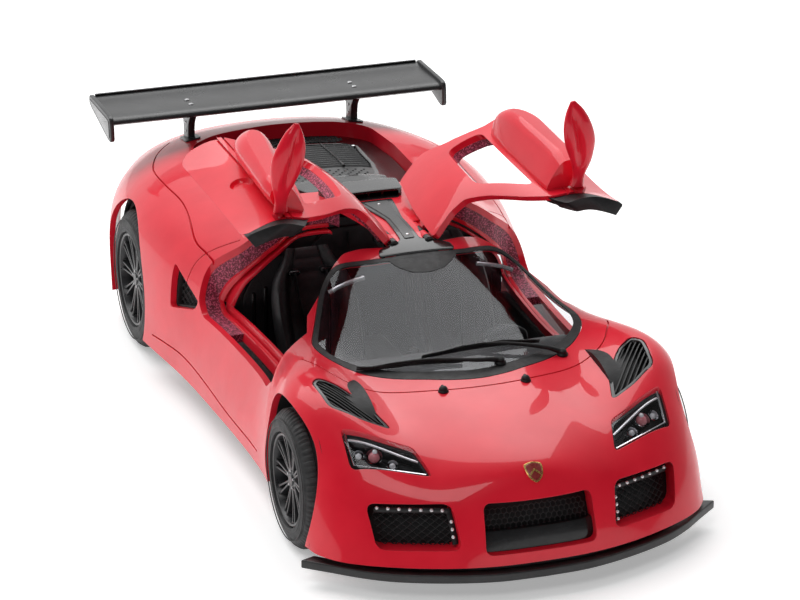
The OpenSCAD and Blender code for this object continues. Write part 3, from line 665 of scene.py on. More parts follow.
def material(name, colour, rough, metal=0.0, coat=0.0, coat_rough=0.03, mottle=0.08, mottle_mm=3.0,
             grain=0.0, grain_mm=0.5, edge=0.0, edge_mm=0.12, speck=None, specular=0.5, glow=0.0):
    """A procedural finish. mottle varies the colour, grain is the height in millimetres of a fine bump, edge
    lightens edges, partly as paint worn thin on them and partly as a painted highlight along them, speck adds
    (colour, size, share) flecks, and glow is light given off evenly."""
    mat = bpy.data.materials.new(name)
    mat.use_nodes = True
    nt = mat.node_tree
    nodes, link = nt.nodes, nt.links.new
    shader = nodes["Principled BSDF"]

    def node(kind, inputs=None, **settings):
        return new_node(nodes, kind, inputs, **settings)

    def noise(size_mm, detail=3.0):
        n = node("ShaderNodeTexNoise", {"Scale": 1 / (size_mm * MM), "Detail": detail})
        link(coords.outputs["Object"], n.inputs["Vector"])
        return n.outputs["Fac"]

    def remap(value, lo, hi, to_lo, to_hi):
        n = node("ShaderNodeMapRange", {"From Min": lo, "From Max": hi, "To Min": to_lo, "To Max": to_hi})
        link(value, n.inputs["Value"])
        return n.outputs["Result"]

    def blend_colour(factor, a, b):
        n = node("ShaderNodeMix", data_type="RGBA")
        for source, key in ((factor, 0), (a, 6), (b, 7)):
            if isinstance(source, (tuple, list)):
                n.inputs[key].default_value = (*source[:3], 1)
            else:
                link(source, n.inputs[key])
        return n.outputs[2]

    coords = node("ShaderNodeTexCoord")
    dark = tuple(c * (1 - mottle) for c in colour)
    light = tuple(min(c * (1 + mottle) + 0.15 * mottle * max(colour), 1) for c in colour)
    shown = blend_colour(remap(noise(mottle_mm), 0.3, 0.7, 0, 1), dark, light)
    if speck:
        speck_colour, size, share = speck
        flecks = remap(noise(size, 1.0), 1 - share - 0.06, 1 - share + 0.06, 0, 1)
        shown = blend_colour(flecks, shown, speck_colour)
    bevel = None
    if edge:
        bevel = node("ShaderNodeBevel", {"Radius": edge_mm * MM}, samples=4)
        geometry = node("ShaderNodeNewGeometry")
        dot = node("ShaderNodeVectorMath", operation="DOT_PRODUCT")
        link(bevel.outputs["Normal"], dot.inputs[0])
        link(geometry.outputs["Normal"], dot.inputs[1])
        # Edges are lightened toward a pale tint: partly paint worn thin on them, partly a painted highlight
        # along them.
        worn_and_highlit = remap(dot.outputs["Value"], 0.97, 0.8, 0, edge)
        pale = tuple(min(0.35 + 0.65 * c, 1) for c in colour)
        shown = blend_colour(worn_and_highlit, shown, pale)
    link(shown, shader.inputs["Base Color"])
    link(remap(noise(mottle_mm * 0.6, 4.0), 0.25, 0.75, rough * (1 - ROUGH_SPREAD),
               min(rough * (1 + ROUGH_SPREAD), 1)),
         shader.inputs["Roughness"])
    normal = bevel.outputs["Normal"] if bevel else None
    if grain:
        bump = node("ShaderNodeBump", {"Distance": grain * MM})
        link(noise(grain_mm, 2.0), bump.inputs["Height"])
        if normal is not None:
            link(normal, bump.inputs["Normal"])
        normal = bump.outputs["Normal"]
    if normal is not None:
        link(normal, shader.inputs["Normal"])
    settings = {"Metallic": metal, "Coat Weight": coat, "Coat Roughness": coat_rough,
                "Specular IOR Level": specular, "Emission Color": (1, 1, 1, 1), "Emission Strength": glow}
    for key, value in settings.items():
        shader.inputs[key].default_value = value
    return mat


def glass_material(name, tint, haze=0.0):
    """Clear moulded plastic: light passes straight through, and glancing light is mirrored."""
    mat = bpy.data.materials.new(name)
    mat.use_nodes = True
    nodes, link = mat.node_tree.nodes, mat.node_tree.links.new
    nodes.remove(nodes["Principled BSDF"])
    clear = new_node(nodes, "ShaderNodeBsdfTransparent", {"Color": (*tint, 1)})
    shine = new_node(nodes, "ShaderNodeBsdfPrincipled", {"Base Color": (0.85, 0.86, 0.88, 1),
                                                         "Metallic": 1.0})
    coords = new_node(nodes, "ShaderNodeTexCoord")
    smudge = new_node(nodes, "ShaderNodeTexNoise", {"Scale": 1 / (SMUDGE_SIZE * MM), "Detail": 4})
    spread = new_node(nodes, "ShaderNodeMapRange", {"To Min": 0.01, "To Max": 0.07})
    fresnel = new_node(nodes, "ShaderNodeFresnel", {"IOR": 1.45})
    outside = new_node(nodes, "ShaderNodeNewGeometry")
    front_only = new_node(nodes, "ShaderNodeMath", operation="SUBTRACT", use_clamp=True)
    share = new_node(nodes, "ShaderNodeMapRange", {"To Min": haze, "To Max": 0.7})
    mix = new_node(nodes, "ShaderNodeMixShader")
    for source, target in ((coords.outputs["Object"], smudge.inputs["Vector"]),
                           (smudge.outputs["Fac"], spread.inputs["Value"]),
                           (spread.outputs["Result"], shine.inputs["Roughness"]),
                           (fresnel.outputs[0], front_only.inputs[0]),
                           (outside.outputs["Backfacing"], front_only.inputs[1]),
                           (front_only.outputs[0], share.inputs["Value"]),
                           (share.outputs["Result"], mix.inputs[0]),
                           (clear.outputs[0], mix.inputs[1]),
                           (shine.outputs[0], mix.inputs[2]),
                           (mix.outputs[0], nodes["Material Output"].inputs["Surface"])):
        link(source, target)
    return mat


RED = (0.78, 0.010, 0.030)
PAINT = material("gloss_red_paint", RED, 0.34, coat=0.5, coat_rough=0.02, mottle=0.05, mottle_mm=9,
                 grain=0.012, grain_mm=1.1, edge=0.15, edge_mm=0.16, specular=0.15)
SPECKLED = material("speckled_burgundy", (0.16, 0.004, 0.026), 0.55, mottle=0.5, mottle_mm=0.7, grain=0.12,
                    grain_mm=0.35, speck=((0.62, 0.10, 0.19), 0.34, 0.45), edge=0.25)
BASE_BLACK = material("satin_black_base", (0.018, 0.018, 0.019), 0.42, mottle=0.3, mottle_mm=5, grain=0.03,
                      grain_mm=0.4, edge=0.12)
GLOSS_BLACK = material("gloss_black", (0.010, 0.010, 0.011), 0.2, coat=0.25, specular=0.35, coat_rough=0.05,
                       mottle=0.3, mottle_mm=4, grain=0.01, grain_mm=0.8, edge=0.08)
MATT_BLACK = material("matt_black", (0.010, 0.010, 0.011), 0.5, specular=0.3, mottle=0.35, mottle_mm=2,
                      grain=0.05, grain_mm=0.3, edge=0.08)
GRILLE_BLACK = material("grille_black", (0.012, 0.012, 0.013), 0.4, specular=0.3, mottle=0.3, mottle_mm=2,
                        grain=0.02, grain_mm=0.3, edge=0.15)
WING_BLACK = material("wing_black", (0.026, 0.027, 0.028), 0.30, mottle=0.2, mottle_mm=8, grain=0.03,
                      grain_mm=0.35, edge=0.15)
CABIN_BLACK = material("cabin_black", (0.014, 0.014, 0.015), 0.5, mottle=0.3, mottle_mm=3, grain=0.05,
                       grain_mm=0.35, edge=0.1)
SEAT_BLACK = material("seat_black", (0.016, 0.016, 0.018), 0.55, mottle=0.3, mottle_mm=2, grain=0.08,
                      grain_mm=0.5, edge=0.1)
RIM_BLACK = material("rim_black", (0.016, 0.016, 0.018), 0.3, mottle=0.3, mottle_mm=2, grain=0.01,
                     grain_mm=0.4, edge=0.18)
RUBBER = material("tyre_rubber", (0.020, 0.020, 0.021), 0.62, mottle=0.35, mottle_mm=2.5, grain=0.06,
                  grain_mm=0.3, edge=0.12)
CHROME = material("chrome", (0.80, 0.80, 0.82), 0.10, metal=1.0, mottle=0.05, grain=0.01)
STEEL = material("turned_steel", (0.52, 0.52, 0.53), 0.30, metal=1.0, mottle=0.15, mottle_mm=1.0, grain=0.02,
                 grain_mm=0.25)
GOLD = material("gold_print", (0.62, 0.40, 0.12), 0.28, metal=0.7, mottle=0.2, mottle_mm=0.5, grain=0.01)
BADGE_RED = material("badge_red", (0.25, 0.02, 0.02), 0.3, mottle=0.3, mottle_mm=0.4, coat=0.5)
SILVER = material("silver_dots", (0.78, 0.78, 0.80), 0.25, metal=0.6, mottle=0.1, mottle_mm=0.4, edge=0.2)
RED_LENS = material("red_lens", (0.45, 0.008, 0.010), 0.12, coat=1.0, mottle=0.15, mottle_mm=1.5, grain=0.02,
                    grain_mm=0.5)
PINK_BULB = material("pink_bulb", (0.70, 0.22, 0.25), 0.2, coat=0.8, mottle=0.15, mottle_mm=0.8)
# White, for the two small bulbs and for the painted highlight on the pink bulb.
WHITE_BULB_AND_HIGHLIGHT = material("white_bulb_and_highlight", (0.80, 0.80, 0.82), 0.18, coat=0.8, mottle=0.08, mottle_mm=0.8)
GLASS = glass_material("clear_windscreen", (0.92, 0.93, 0.94), 0.005)
LAMP_GLASS = glass_material("clear_lamp", (0.95, 0.95, 0.96))


# ---------------------------------------------------------------- camera, light and floor

CAMERA_PLACE = (-249.7, -739.6, 325.4)
CAMERA_ANGLES = (-18.84, 20.98, -0.198)
LENS = 181.8
FLOOR_HALF = 3000


def make_camera():
    """The photograph's viewing angle: about 19 degrees to the car's right of its nose, 21 degrees up."""
    azimuth, elevation, roll = [math.radians(a) for a in CAMERA_ANGLES]
    back = Vector((math.sin(azimuth) * math.cos(elevation), -math.cos(azimuth) * math.cos(elevation),
                   math.sin(elevation)))
    right = Vector((0, 0, 1)).cross(back).normalized()
    up = back.cross(right)
    across = right * math.cos(roll) + up * math.sin(roll)
    upward = up * math.cos(roll) - right * math.sin(roll)
    data = bpy.data.cameras.new("camera")
    data.sensor_width = 36
    data.lens = LENS
    data.clip_start, data.clip_end = 0.01, 20
    cam = bpy.data.objects.new("camera", data)
    bpy.context.scene.collection.objects.link(cam)
    turn = Matrix((across, upward, back)).transposed().to_4x4()
    cam.matrix_world = Matrix.Translation(Vector(CAMERA_PLACE) * MM) @ turn
    bpy.context.scene.camera = cam


def area_light(name, place, aim, size, watts):
    """A rectangular lamp at a place, aimed at a point."""
    data = bpy.data.lights.new(name, "AREA")
    data.shape = "RECTANGLE"
    data.size, data.size_y = size[0] * MM, size[1] * MM
    data.energy = watts
    ob = bpy.data.objects.new(name, data)
    bpy.context.scene.collection.objects.link(ob)
    ob.location = Vector(place) * MM
    ob.rotation_euler = (Vector(aim) - Vector(place)).to_track_quat("-Z", "Y").to_euler()


def make_studio():
    """An even white surround, brighter behind the car, with two soft lamps and a pale floor."""
    scene = bpy.context.scene
    scene.view_settings.view_transform = "Standard"
    world = bpy.data.worlds.new("studio")
    world.use_nodes = True
    nodes, link = world.node_tree.nodes, world.node_tree.links.new
    direction = nodes.new("ShaderNodeTexCoord")
    parts = nodes.new("ShaderNodeSeparateXYZ")
    fade = new_node(nodes, "ShaderNodeMapRange", {"From Min": -0.3, "From Max": 0.7, "To Min": 0.05,
                                                  "To Max": 0.9})
    link(direction.outputs["Generated"], parts.inputs[0])
    link(parts.outputs["Y"], fade.inputs["Value"])
    link(fade.outputs["Result"], nodes["Background"].inputs["Strength"])
    nodes["Background"].inputs["Color"].default_value = (1, 1, 1, 1)
    scene.world = world
    area_light("top", (-40, 430, 760), (0, 30, 0), (1100, 700), 7.0)
    area_light("front", (-300, -500, 700), (0, -30, 20), (300, 300), 1.1)
    half = FLOOR_HALF
    pale = material("pale_floor", (0.93, 0.93, 0.93), 0.7, mottle=0.01, mottle_mm=60, specular=0.0, glow=0.35)
    floor = mesh_object([(-half, -half, 0), (half, -half, 0), (half, half, 0), (-half, half, 0)],
                        [(0, 1, 2, 3)], [pale])
    floor.name = "floor"


make_camera()
make_studio()


# ---------------------------------------------------------------- outlines on the body, left side

DOOR_PLAN = [[4.9, -15.4], [10.8, -14.2], [14.7, -14.5], [18.4, -17.7], [22.7, -22.5], [27, -26], [31, -26.5],
             [34.5, -29], [50, -29], [50, 16], [33, 16], [28, 12], [24, 10.8], [20.3, 10.6], [15.4, 13.6],
             [8.3, 11.2], [6, -4]]
DOOR_SIDE = [[-29.5, 60], [-29.5, 25], [-27.5, 22.3], [12.5, 22.8], [15.2, 25], [16, 30], [16, 60]]
TAB_PLAN = [[24.6, -21.6], [27.4, -29.8], [31, -30.8], [34.2, -30.2], [34.2, -24], [28, -23]]
WINDOW_PLAN = [[18.6, -13.1], [19.4, 5.6], [26.8, 9], [26, -19.6]]
GLASS_HALF = [[0, -55.8], [6, -55], [15, -51.8], [23.5, -46.5], [27.2, -41.5], [28, -35], [25, -28.5],
              [21.8, -21.5], [17.6, -17], [9, -18.8], [0, -18.6]]
LAMP_PLAN = [[32.7, -68], [32.6, -74.3], [18.4, -80.6], [20.2, -73.7]]
VENT_PLAN = [[32.4, -53.4], [34.4, -55.5], [33.4, -63.5], [28, -67], [22.4, -68.9], [24.5, -61.5],
             [28.8, -55.5]]
ENGINE_HALF = [[0, 21], [9, 22], [15, 27], [20.6, 42], [21.6, 60], [20.6, 74], [15, 77.5], [0, 79]]
INTAKE_SIDE = [[28.2, 29.2], [27, 19.8], [16.5, 22.6], [15.5, 24.6]]
CENTRE_MOUTH = [[-10.8, 18], [-11.2, 8.6], [11.2, 8.6], [10.8, 18]]
SIDE_MOUTH = [[16.4, 18], [31.3, 17.6], [30.3, 9.5], [15.4, 9.8]]

GLASS_PLAN = rounded(whole(GLASS_HALF), 4)
LAMP = rounded(LAMP_PLAN, 1.2)
VENT = rounded(VENT_PLAN, 1.6)
ENGINE = rounded(whole(ENGINE_HALF), 3.5)
INTAKE = rounded(INTAKE_SIDE, 1.2)
MOUTH = rounded(CENTRE_MOUTH, 1.6)
MOUTH_SIDE = rounded(SIDE_MOUTH, 1.8)
WINDOW = rounded(WINDOW_PLAN, 1.8)
DOOR_TOP = rounded(DOOR_PLAN, 1.0)
DOOR_FLANK = rounded(DOOR_SIDE, 1.2)

# Shut lines and creases pressed into the shell, seen from above or from the left side
BONNET_SEAM = [[-32, -42], [-30.5, -46], [-26.5, -51.8], [-16.5, -55.8], [-8, -58], [0, -58.5], [8, -58],
               [16.5, -55.8], [26.5, -51.8], [30.5, -46], [32, -42]]
CLAM_SEAM = [[27.3, 14.5], [30.6, 18], [34.2, 20.8], [37.2, 21.8], [41, 22.4]]
DECK_SEAM = [[32.6, 15.5], [33.1, 20.7], [33.6, 26.5], [32.3, 36], [31.8, 43.7], [32.2, 54.2], [31.5, 66],
             [28, 76], [23, 83]]
SILL_SEAM = [[36, 10.4], [27, 11.2], [18, 11.6], [4, 10.8], [-12, 9.8], [-31, 9.9]]
SHUT_WIDTH = 0.35
SHUT_DEPTH = 0.5
HINGE_SLOT = ((HINGE_X - 0.2, -13.9, 41.8), (6.6, -5.7, 46))
SCREW_PLACES = [(14, -72), (22.5, 78.2)]


def both_ways(outline):
    """A left-side outline and its mirror image."""
    return [outline, flipped(outline)]


def door_space(by=0.0, side=LEFT, lo=20):
    """The space a closed left door fills, grown by a gap, or its mirror image on the right."""
    ob = inside(prism(grown(DOOR_TOP, by), "z", lo, 60), prism(grown(DOOR_FLANK, by), "x", 0, 60))
    return on_side(ob, side)


def wheel_holes():
    """The cutters of the four wheel arches."""
    made = []
    for hub, r in ((FRONT_HUB, FRONT_ARCH_R), (REAR_HUB, REAR_ARCH_R)):
        for side in SIDES:
            made.append(disc((side * 35, hub[1], hub[2]), r, "x", 11, steps=128))
    return joined(made)


def shut_lines():
    """Thin cutters along every shut line of the shell."""
    lines = joined([prism(ribbon(curve(BONNET_SEAM), SHUT_WIDTH), "z", 20, 60)])
    for seam in (CLAM_SEAM, DECK_SEAM):
        for outline in both_ways(ribbon(curve(seam), SHUT_WIDTH)):
            plus(lines, prism(outline, "z", 24, 60))
    for side in SIDES:
        plus(lines, prism(ribbon(curve(SILL_SEAM), SHUT_WIDTH), "x", side * 25, side * 60))
    return inside(lines, layer(-0.3, SHUT_DEPTH, density=6))


def mouth_walls(outline):
    """A thick rim behind an opening in the nose, so that its walls run inwards."""
    u, v = window(outline, "y", 4)
    return inside(layer(0.5, 4.2, u, v, 10), prism(grown(outline, 1.3), "y", -97, -60))


def make_body():
    """The painted shell with its openings and shut lines."""
    shell = layer(0, WALL)
    plus(shell, mouth_walls(MOUTH))
    plus(shell, mouth_walls(MOUTH_SIDE), mirrored(mouth_walls(MOUTH_SIDE)))
    u, v = (8.8, LAST_U), (0, LAST_V)
    ring = inside(layer(0.5, 5, u, v, 6), prism(grown(ENGINE, 1.3), "z", 20, 60))
    plus(shell, minus(ring, prism(grown(ENGINE, -1), "z", 19, 61)))
    minus(shell, several([GLASS_PLAN, ENGINE, LAMP, flipped(LAMP), VENT, flipped(VENT)], "z", 16, 60))
    minus(shell, several([MOUTH, MOUTH_SIDE, flipped(MOUTH_SIDE)], "y", -97, -60))
    minus(shell, joined([prism(INTAKE, "x", 30, 50), prism(INTAKE, "x", -50, -30)]))
    minus(shell, wheel_holes())
    for side in SIDES:
        space = door_space(DOOR_GAP, side)
        trim = prism(grown(TAB_PLAN, DOOR_GAP), "z", 22.4, 60)
        plus(space, on_side(trim, side))
        minus(shell, inside(space, layer(-1, WALL + 1, (6, 13), (0, LAST_V), 4)))
        lo, hi = HINGE_SLOT
        minus(shell, box((side * lo[0], lo[1], lo[2]), (side * hi[0], hi[1], hi[2])))
    minus(shell, shut_lines())
    piece("painted_body", shell, PAINT, replaces="body_shell", follow=True)


make_body()


# ---------------------------------------------------------------- small helpers for things on the body

UP = {"x": (1, 0, 0), "y": (0, 1, 0), "z": (0, 0, 1)}


def on_skin(points, depth, axis="z"):
    """3-D points at a depth under the paint, from 2-D points seen along an axis. depth may be a list."""
    p, n = drop(points, axis)
    return p - np.reshape(depth, (-1, 1)) * n if np.ndim(depth) else p - depth * n


def covered(outline, points):
    """Which 2-D points lie inside an outline."""
    p, q = np.array(points, float), np.array(outline, float)
    hit = np.zeros(len(p), bool)
    for a, b in zip(q, np.roll(q, -1, 0)):
        spans = (a[1] > p[:, 1]) != (b[1] > p[:, 1])
        rise = b[1] - a[1] if abs(b[1] - a[1]) > 1e-9 else 1e-9
        hit ^= spans & (p[:, 0] < (b[0] - a[0]) * (p[:, 1] - a[1]) / rise + a[0])
    return hit


def honeycomb(outline, pitch, wire, depth, axis):
    """A net of six-sided cells over an outline on the body."""
    lo, hi = np.min(outline, 0), np.max(outline, 0)
    made = []
    rows = int((hi[1] - lo[1]) / (pitch * 0.87)) + 2
    for i in range(rows):
        for j in range(int((hi[0] - lo[0]) / pitch) + 2):
            centre = np.array([lo[0] + pitch * (j + 0.5 * (i % 2)), lo[1] + pitch * 0.87 * i])
            a = math.pi / 6 + np.arange(6) * math.pi / 3
            ring = centre + 0.575 * pitch * np.stack([np.cos(a), np.sin(a)], 1)
            if covered(outline, ring).all():
                made.append(ring)
    flat = np.concatenate(made)
    solid = on_skin(flat, depth, axis).reshape(-1, 6, 3)
    return joined([tube(ring, wire, 4, loop=True, up=UP[axis]) for ring in solid])


def lattice(outline, pitch, wire, angles, depth, axis):
    """Straight crossing wires over an outline on the body."""
    centre = np.mean(outline, 0)
    reach = np.max(np.linalg.norm(np.array(outline) - centre, axis=1)) + pitch
    wires = []
    for angle in angles:
        a = math.radians(angle)
        along, across = np.array([math.cos(a), math.sin(a)]), np.array([-math.sin(a), math.cos(a)])
        for k in range(-int(reach / pitch), int(reach / pitch) + 1):
            line = centre + across * pitch * k + along * np.linspace(-reach, reach, 60)[:, None]
            line = line[covered(outline, line)]
            if len(line) > 2:
                line = line[np.linspace(0, len(line) - 1, max(3, len(line) // 6)).astype(int)]
                wires.append(tube(on_skin(line, depth, axis), wire, 4, up=UP[axis]))
    return joined(wires)


def bead(path, radius, depth, axis="z", sides=8, flat=1.0, steps=4):
    """A bar that runs along the body through 2-D points."""
    line = curve(path, steps) if steps else np.array(path, float)
    up = {"x": (1, 0, 0), "y": (0, -1, 0), "z": (0, 0, 1)}[axis]
    return tube(on_skin(line, depth, axis), radius, sides, up=up, flat=flat)


def stood(ob, place, normal):
    """A shape made round the origin, moved to a place with its Z axis along a normal."""
    spin = Vector(normal).to_track_quat("Z", "Y").to_matrix().to_4x4()
    return moved(ob, Matrix.Translation(Vector(place)) @ spin)


def dome(place, radius, depth, axis, material_used, high=1.0):
    """A round bulb or dot on the body, seen along an axis."""
    p, n = drop([place], axis)
    c = p[0] - depth * n[0]
    ob = ball((0, 0, 0), radius, (1, 1, high), [material_used], 16)
    return stood(ob, c, n[0])


def painted(ob, material_used):
    """An object with one material, so that it keeps it when objects are joined."""
    ob.data.materials.clear()
    ob.data.materials.append(material_used)
    return ob


# ---------------------------------------------------------------- nose

BAR_TOP = 12.4


def make_centre_grille():
    net = painted(honeycomb(MOUTH, 1.15, 0.13, 2.9, "y"), GRILLE_BLACK)
    bar = painted(bevelled(patch(inside_band(grown(MOUTH, 0.5), BAR_TOP), 1.7, 2.9, "y"), 0.3), GLOSS_BLACK)
    back = painted(patch(grown(MOUTH, 0.8), 3.5, 4.0, "y"), MATT_BLACK)
    piece("centre_grille_mesh", [net, bar, back], replaces="centre_grille")


def inside_band(outline, top):
    """The part of an outline that lies below a height."""
    return np.array([[x, min(y, top)] for x, y in outline])


def make_side_grille(side):
    name = SIDE_NAME[side]
    net = painted(lattice(grown(MOUTH_SIDE, -0.1), 1.05, 0.12, (38, -38), 2.9, "y"), GRILLE_BLACK)
    back = painted(patch(grown(MOUTH_SIDE, 0.8), 3.5, 4.0, "y"), MATT_BLACK)
    top_row = [(x, 16.95) for x in np.linspace(18.2, 29.6, 7)]
    down = [(16.9, z) for z in (np.linspace(15.2, 11.2, 4) if side == LEFT else np.linspace(15.0, 12.2, 3))]
    strip_path = [(30.2, 16.6), (24, 16.9), (17.6, 17.0), (17.0, 16.4), (16.8, 13.5), (16.6, 10.8)]
    strip = painted(bead(strip_path, 0.62, 1.5, "y", 10, flat=0.7), GRILLE_BLACK)
    dots = [dome(p, 0.36, 0.95, "y", SILVER, 0.8) for p in top_row + down]
    piece(f"side_grille_mesh_{name}", [net, back, strip] + dots, replaces=f"side_grille_{name}",
          side=side)


def make_badge():
    """A plain generic shield: a gold border round a dark red field with one chevron."""
    (u,), (v,) = foot(np.array([[0, -86.0, 22.6]]))
    c, n = surface(np.array([u]), np.array([v]))[0], outward(np.array([u]), np.array([v]))[0]
    up = np.cross(n, [1, 0, 0])
    up = up if up[2] > 0 else -up
    shield = curve([(0, 2.2), (1.3, 1.9), (1.75, 1.5), (1.7, 0.2), (1.2, -1.2), (0, -2.2), (-1.2, -1.2),
                    (-1.7, 0.2), (-1.75, 1.5), (-1.3, 1.9)], 4, closed=True)

    def slab(outline, lo, hi, finish):
        flat = c + outline[:, :1] * np.array([1, 0, 0]) + outline[:, 1:] * up
        u, v = foot(flat)
        p, m = surface(u, v), outward(u, v)
        middle = p.mean(0)
        rings = [p + lo * m, p + (hi - 0.05) * m, middle + (p - middle) * 0.95 + hi * m]
        return painted(loft(rings), finish)

    chevron = np.array([(-1.25, -0.5), (0, 0.75), (1.25, -0.5), (1.15, -0.95), (0, 0.2), (-1.15, -0.95)])
    parts = [slab(shield, -0.1, 0.24, GOLD), slab(shield * 0.82, 0.1, 0.30, BADGE_RED),
             slab(chevron * 0.85, 0.2, 0.36, GOLD)]
    piece("shield_badge", parts, replaces="nose_badge")


def make_headlamp(side):
    name = SIDE_NAME[side]
    wall = patch(grown(LAMP, 0.4), 0.9, 3.9, hole=shrunk(LAMP, 0.45))
    floor = patch(grown(LAMP, 0.3), 3.3, 3.9)
    shell = painted(plus(wall, floor), GLOSS_BLACK)
    rim = painted(bead([(32.1, -68.9), (32.0, -73.8), (19.4, -79.6)], 0.26, 0.75, steps=0, flat=0.8), CHROME)
    sweep = painted(bead([(31.9, -69.9), (27.6, -71.9), (23.4, -74.3), (19.9, -76.6)], 0.3, 1.1, flat=0.8),
                    SILVER)
    sill = painted(patch(np.array([(31.9, -70.2), (32.1, -73.6), (20, -79.1), (22.5, -77.4), (27.7, -73.1)]),
                         2.4, 3.5), MATT_BLACK)
    bulbs = []
    for x, y, r, glow in ((30.7, -72.6, 0.62, WHITE_BULB_AND_HIGHLIGHT), (27.6, -73.6, 1.15, PINK_BULB),
                          (24.6, -75.8, 0.62, WHITE_BULB_AND_HIGHLIGHT)):
        bulbs.append(dome((x, y), r, 2.3, "z", glow, 0.9))
        p, n = drop([(x, y)], "z")
        cup = lathe([(-0.2, r + 0.15), (0.9, r + 0.5), (1.0, r + 0.42), (0.0, r + 0.05)], (0, 0, 0), "z", 32,
                    materials=[CHROME])
        bulbs.append(stood(cup, p[0] - 2.9 * n[0], n[0]))
    # A small white dome on the top of the pink bulb: a painted highlight.
    bulbs.append(dome((27.3, -73.1), 0.5, 1.35, "z", WHITE_BULB_AND_HIGHLIGHT, 0.7))
    piece(f"lamp_bowl_{name}", [shell, rim, sweep, sill] + bulbs, replaces=f"headlight_bowl_{name}",
          side=side)
    lens = patch(grown(LAMP, -0.18), 0.05, 0.5)
    piece(f"lamp_cover_{name}", lens, LAMP_GLASS, replaces=f"headlight_lens_{name}",
          follow=True, side=side)


def make_vent(side):
    name = SIDE_NAME[side]
    frame_ring = painted(bevelled(patch(grown(VENT, -0.12), 0.15, 1.7, hole=shrunk(VENT, 0.75)), 0.12),
                         GLOSS_BLACK)
    floor = painted(patch(grown(VENT, 0.4), 1.7, 2.1), MATT_BLACK)
    a = math.radians(52)
    along, across = np.array([math.cos(a), math.sin(a)]), np.array([-math.sin(a), math.cos(a)])
    middle = np.array([28.3, -61.6])
    hole = grown(VENT, -0.6)
    slats = []
    for k in np.arange(-5, 5):
        line = middle + across * (0.95 * k + 0.45) + along * np.linspace(-12, 12, 90)[:, None]
        line = line[covered(hole, line)]
        if len(line) < 6:
            continue
        line = line[np.linspace(0, len(line) - 1, 8).astype(int)]
        low, high = on_skin(line + across * 0.30, 1.45), on_skin(line - across * 0.12, 0.45)
        off = np.array([*across * 0.2, 0])
        slats.append(loft([[q + off, p + off, p - off * 0.3, q - off * 0.3] for p, q in zip(high, low)]))
    slats = painted(joined(slats), GRILLE_BLACK)
    piece(f"wing_vent_{name}", [frame_ring, floor, slats], replaces=f"fender_vent_{name}",
          side=side)


def make_splitter():
    """The black lip: a sharp front edge, a stepped top and a flat underside."""
    half = [[0, -92.5], [9, -92], [18, -89.7], [27, -86], [33, -82], [38, -77.5], [42.5, -73.5],
            [39.5, -72.3], [34, -77.5], [0, -77.5]]
    tip = np.array(half)
    rim = chain(curve(tip[:7], 6), tip[7:])
    lip = painted(bevelled(prism(whole(rim), "z", 3.6, 5.3), 0.25, 3), BASE_BLACK)
    step_front = curve(tip[:6] * [0.962, 1] + [0, 1.9], 6)
    step = np.concatenate([step_front, [[34, -76], [0, -76]]])
    upper = painted(bevelled(prism(whole(step), "z", 5.2, 6.4), 0.3, 3), MATT_BLACK)
    piece("splitter_lip", [lip, upper], replaces="front_splitter")


make_centre_grille()
make_badge()
make_splitter()
for each_side in SIDES:
    make_side_grille(each_side)
    make_headlamp(each_side)
    make_vent(each_side)


# ---------------------------------------------------------------- windscreen, wipers and roof

CLEAR_HALF = [[0, -52.6], [6, -52.0], [14.4, -49.2], [22, -44.6], [25.6, -40.6], [26.6, -35.2], [23.8, -28.4],
              [20.6, -21.8], [16.9, -18.4], [9, -20.1], [0, -19.9]]
SUN_STRIP = [[-7, -18.9], [-5.6, -22.0], [-3, -24.2], [0.6, -24.8], [4.2, -23.8], [7.4, -20.8], [8.4, -18.9]]


def make_windscreen():
    clear = rounded(whole(CLEAR_HALF), 4)
    panel = patch(grown(GLASS_PLAN, -0.2), 0.05, 0.65, density=10)
    piece("windscreen_glass", panel, GLASS, replaces="windscreen", follow=True)
    border = patch(grown(GLASS_PLAN, -0.15), -0.03, 0.3, hole=clear, density=10)
    strip = patch(rounded(SUN_STRIP, 1.2), -0.04, 0.3, density=10)
    # Two silver bars under the glass near its top edge.
    silver_bars = []
    for side in SIDES:
        silver_bars.append(painted(bead([(side * 12.2, -21.3), (side * 20.2, -21.6)], 0.55, 1.7, flat=0.8), SILVER))
    piece("windscreen_border", [painted(border, MATT_BLACK), painted(strip, MATT_BLACK)] + silver_bars)


def make_wiper(name, pivot, elbow, ends, node):
    """A cranked arm on a domed pivot, and a blade that lies along the glass."""
    blade_line = np.linspace(ends[0], ends[1], 13)
    rubber = tube(on_skin(blade_line, -0.34), [0.16] + [0.30] * 11 + [0.16], 8)
    spine = tube(on_skin(blade_line, -0.75), [0.14] + [0.26] * 11 + [0.14], 8)
    bow = tube(on_skin(blade_line[2:11], np.interp(np.arange(9), [0, 2, 6, 8], [-0.8, -1.2, -1.2, -0.8])),
               0.2, 8)
    reach = curve([pivot, elbow, blade_line[6]], 5)
    rise = np.interp(np.linspace(0, 1, len(reach)), [0, 0.3, 0.8, 1], [-0.7, -1.3, -1.5, -1.2])
    arm = tube(on_skin(reach, rise), np.linspace(0.55, 0.26, len(reach)), 10)
    p, n = drop([pivot], "z")
    cap = lathe([(-0.1, 0.0), (-0.1, 1.15), (0.3, 1.15), (0.6, 0.85), (1.0, 0.8), (1.25, 0.5), (1.3, 0.0)],
                (0, 0, 0), "z", 28, closed=False)
    stood(cap, p[0], n[0])
    clips = [dome(q, 0.34, -0.7, "z", MATT_BLACK, 1.2) for q in blade_line[[2, 6, 10]]]
    parts = [painted(o, MATT_BLACK) for o in (rubber, spine, bow, arm, cap)]
    piece(name, parts + clips, replaces=node)


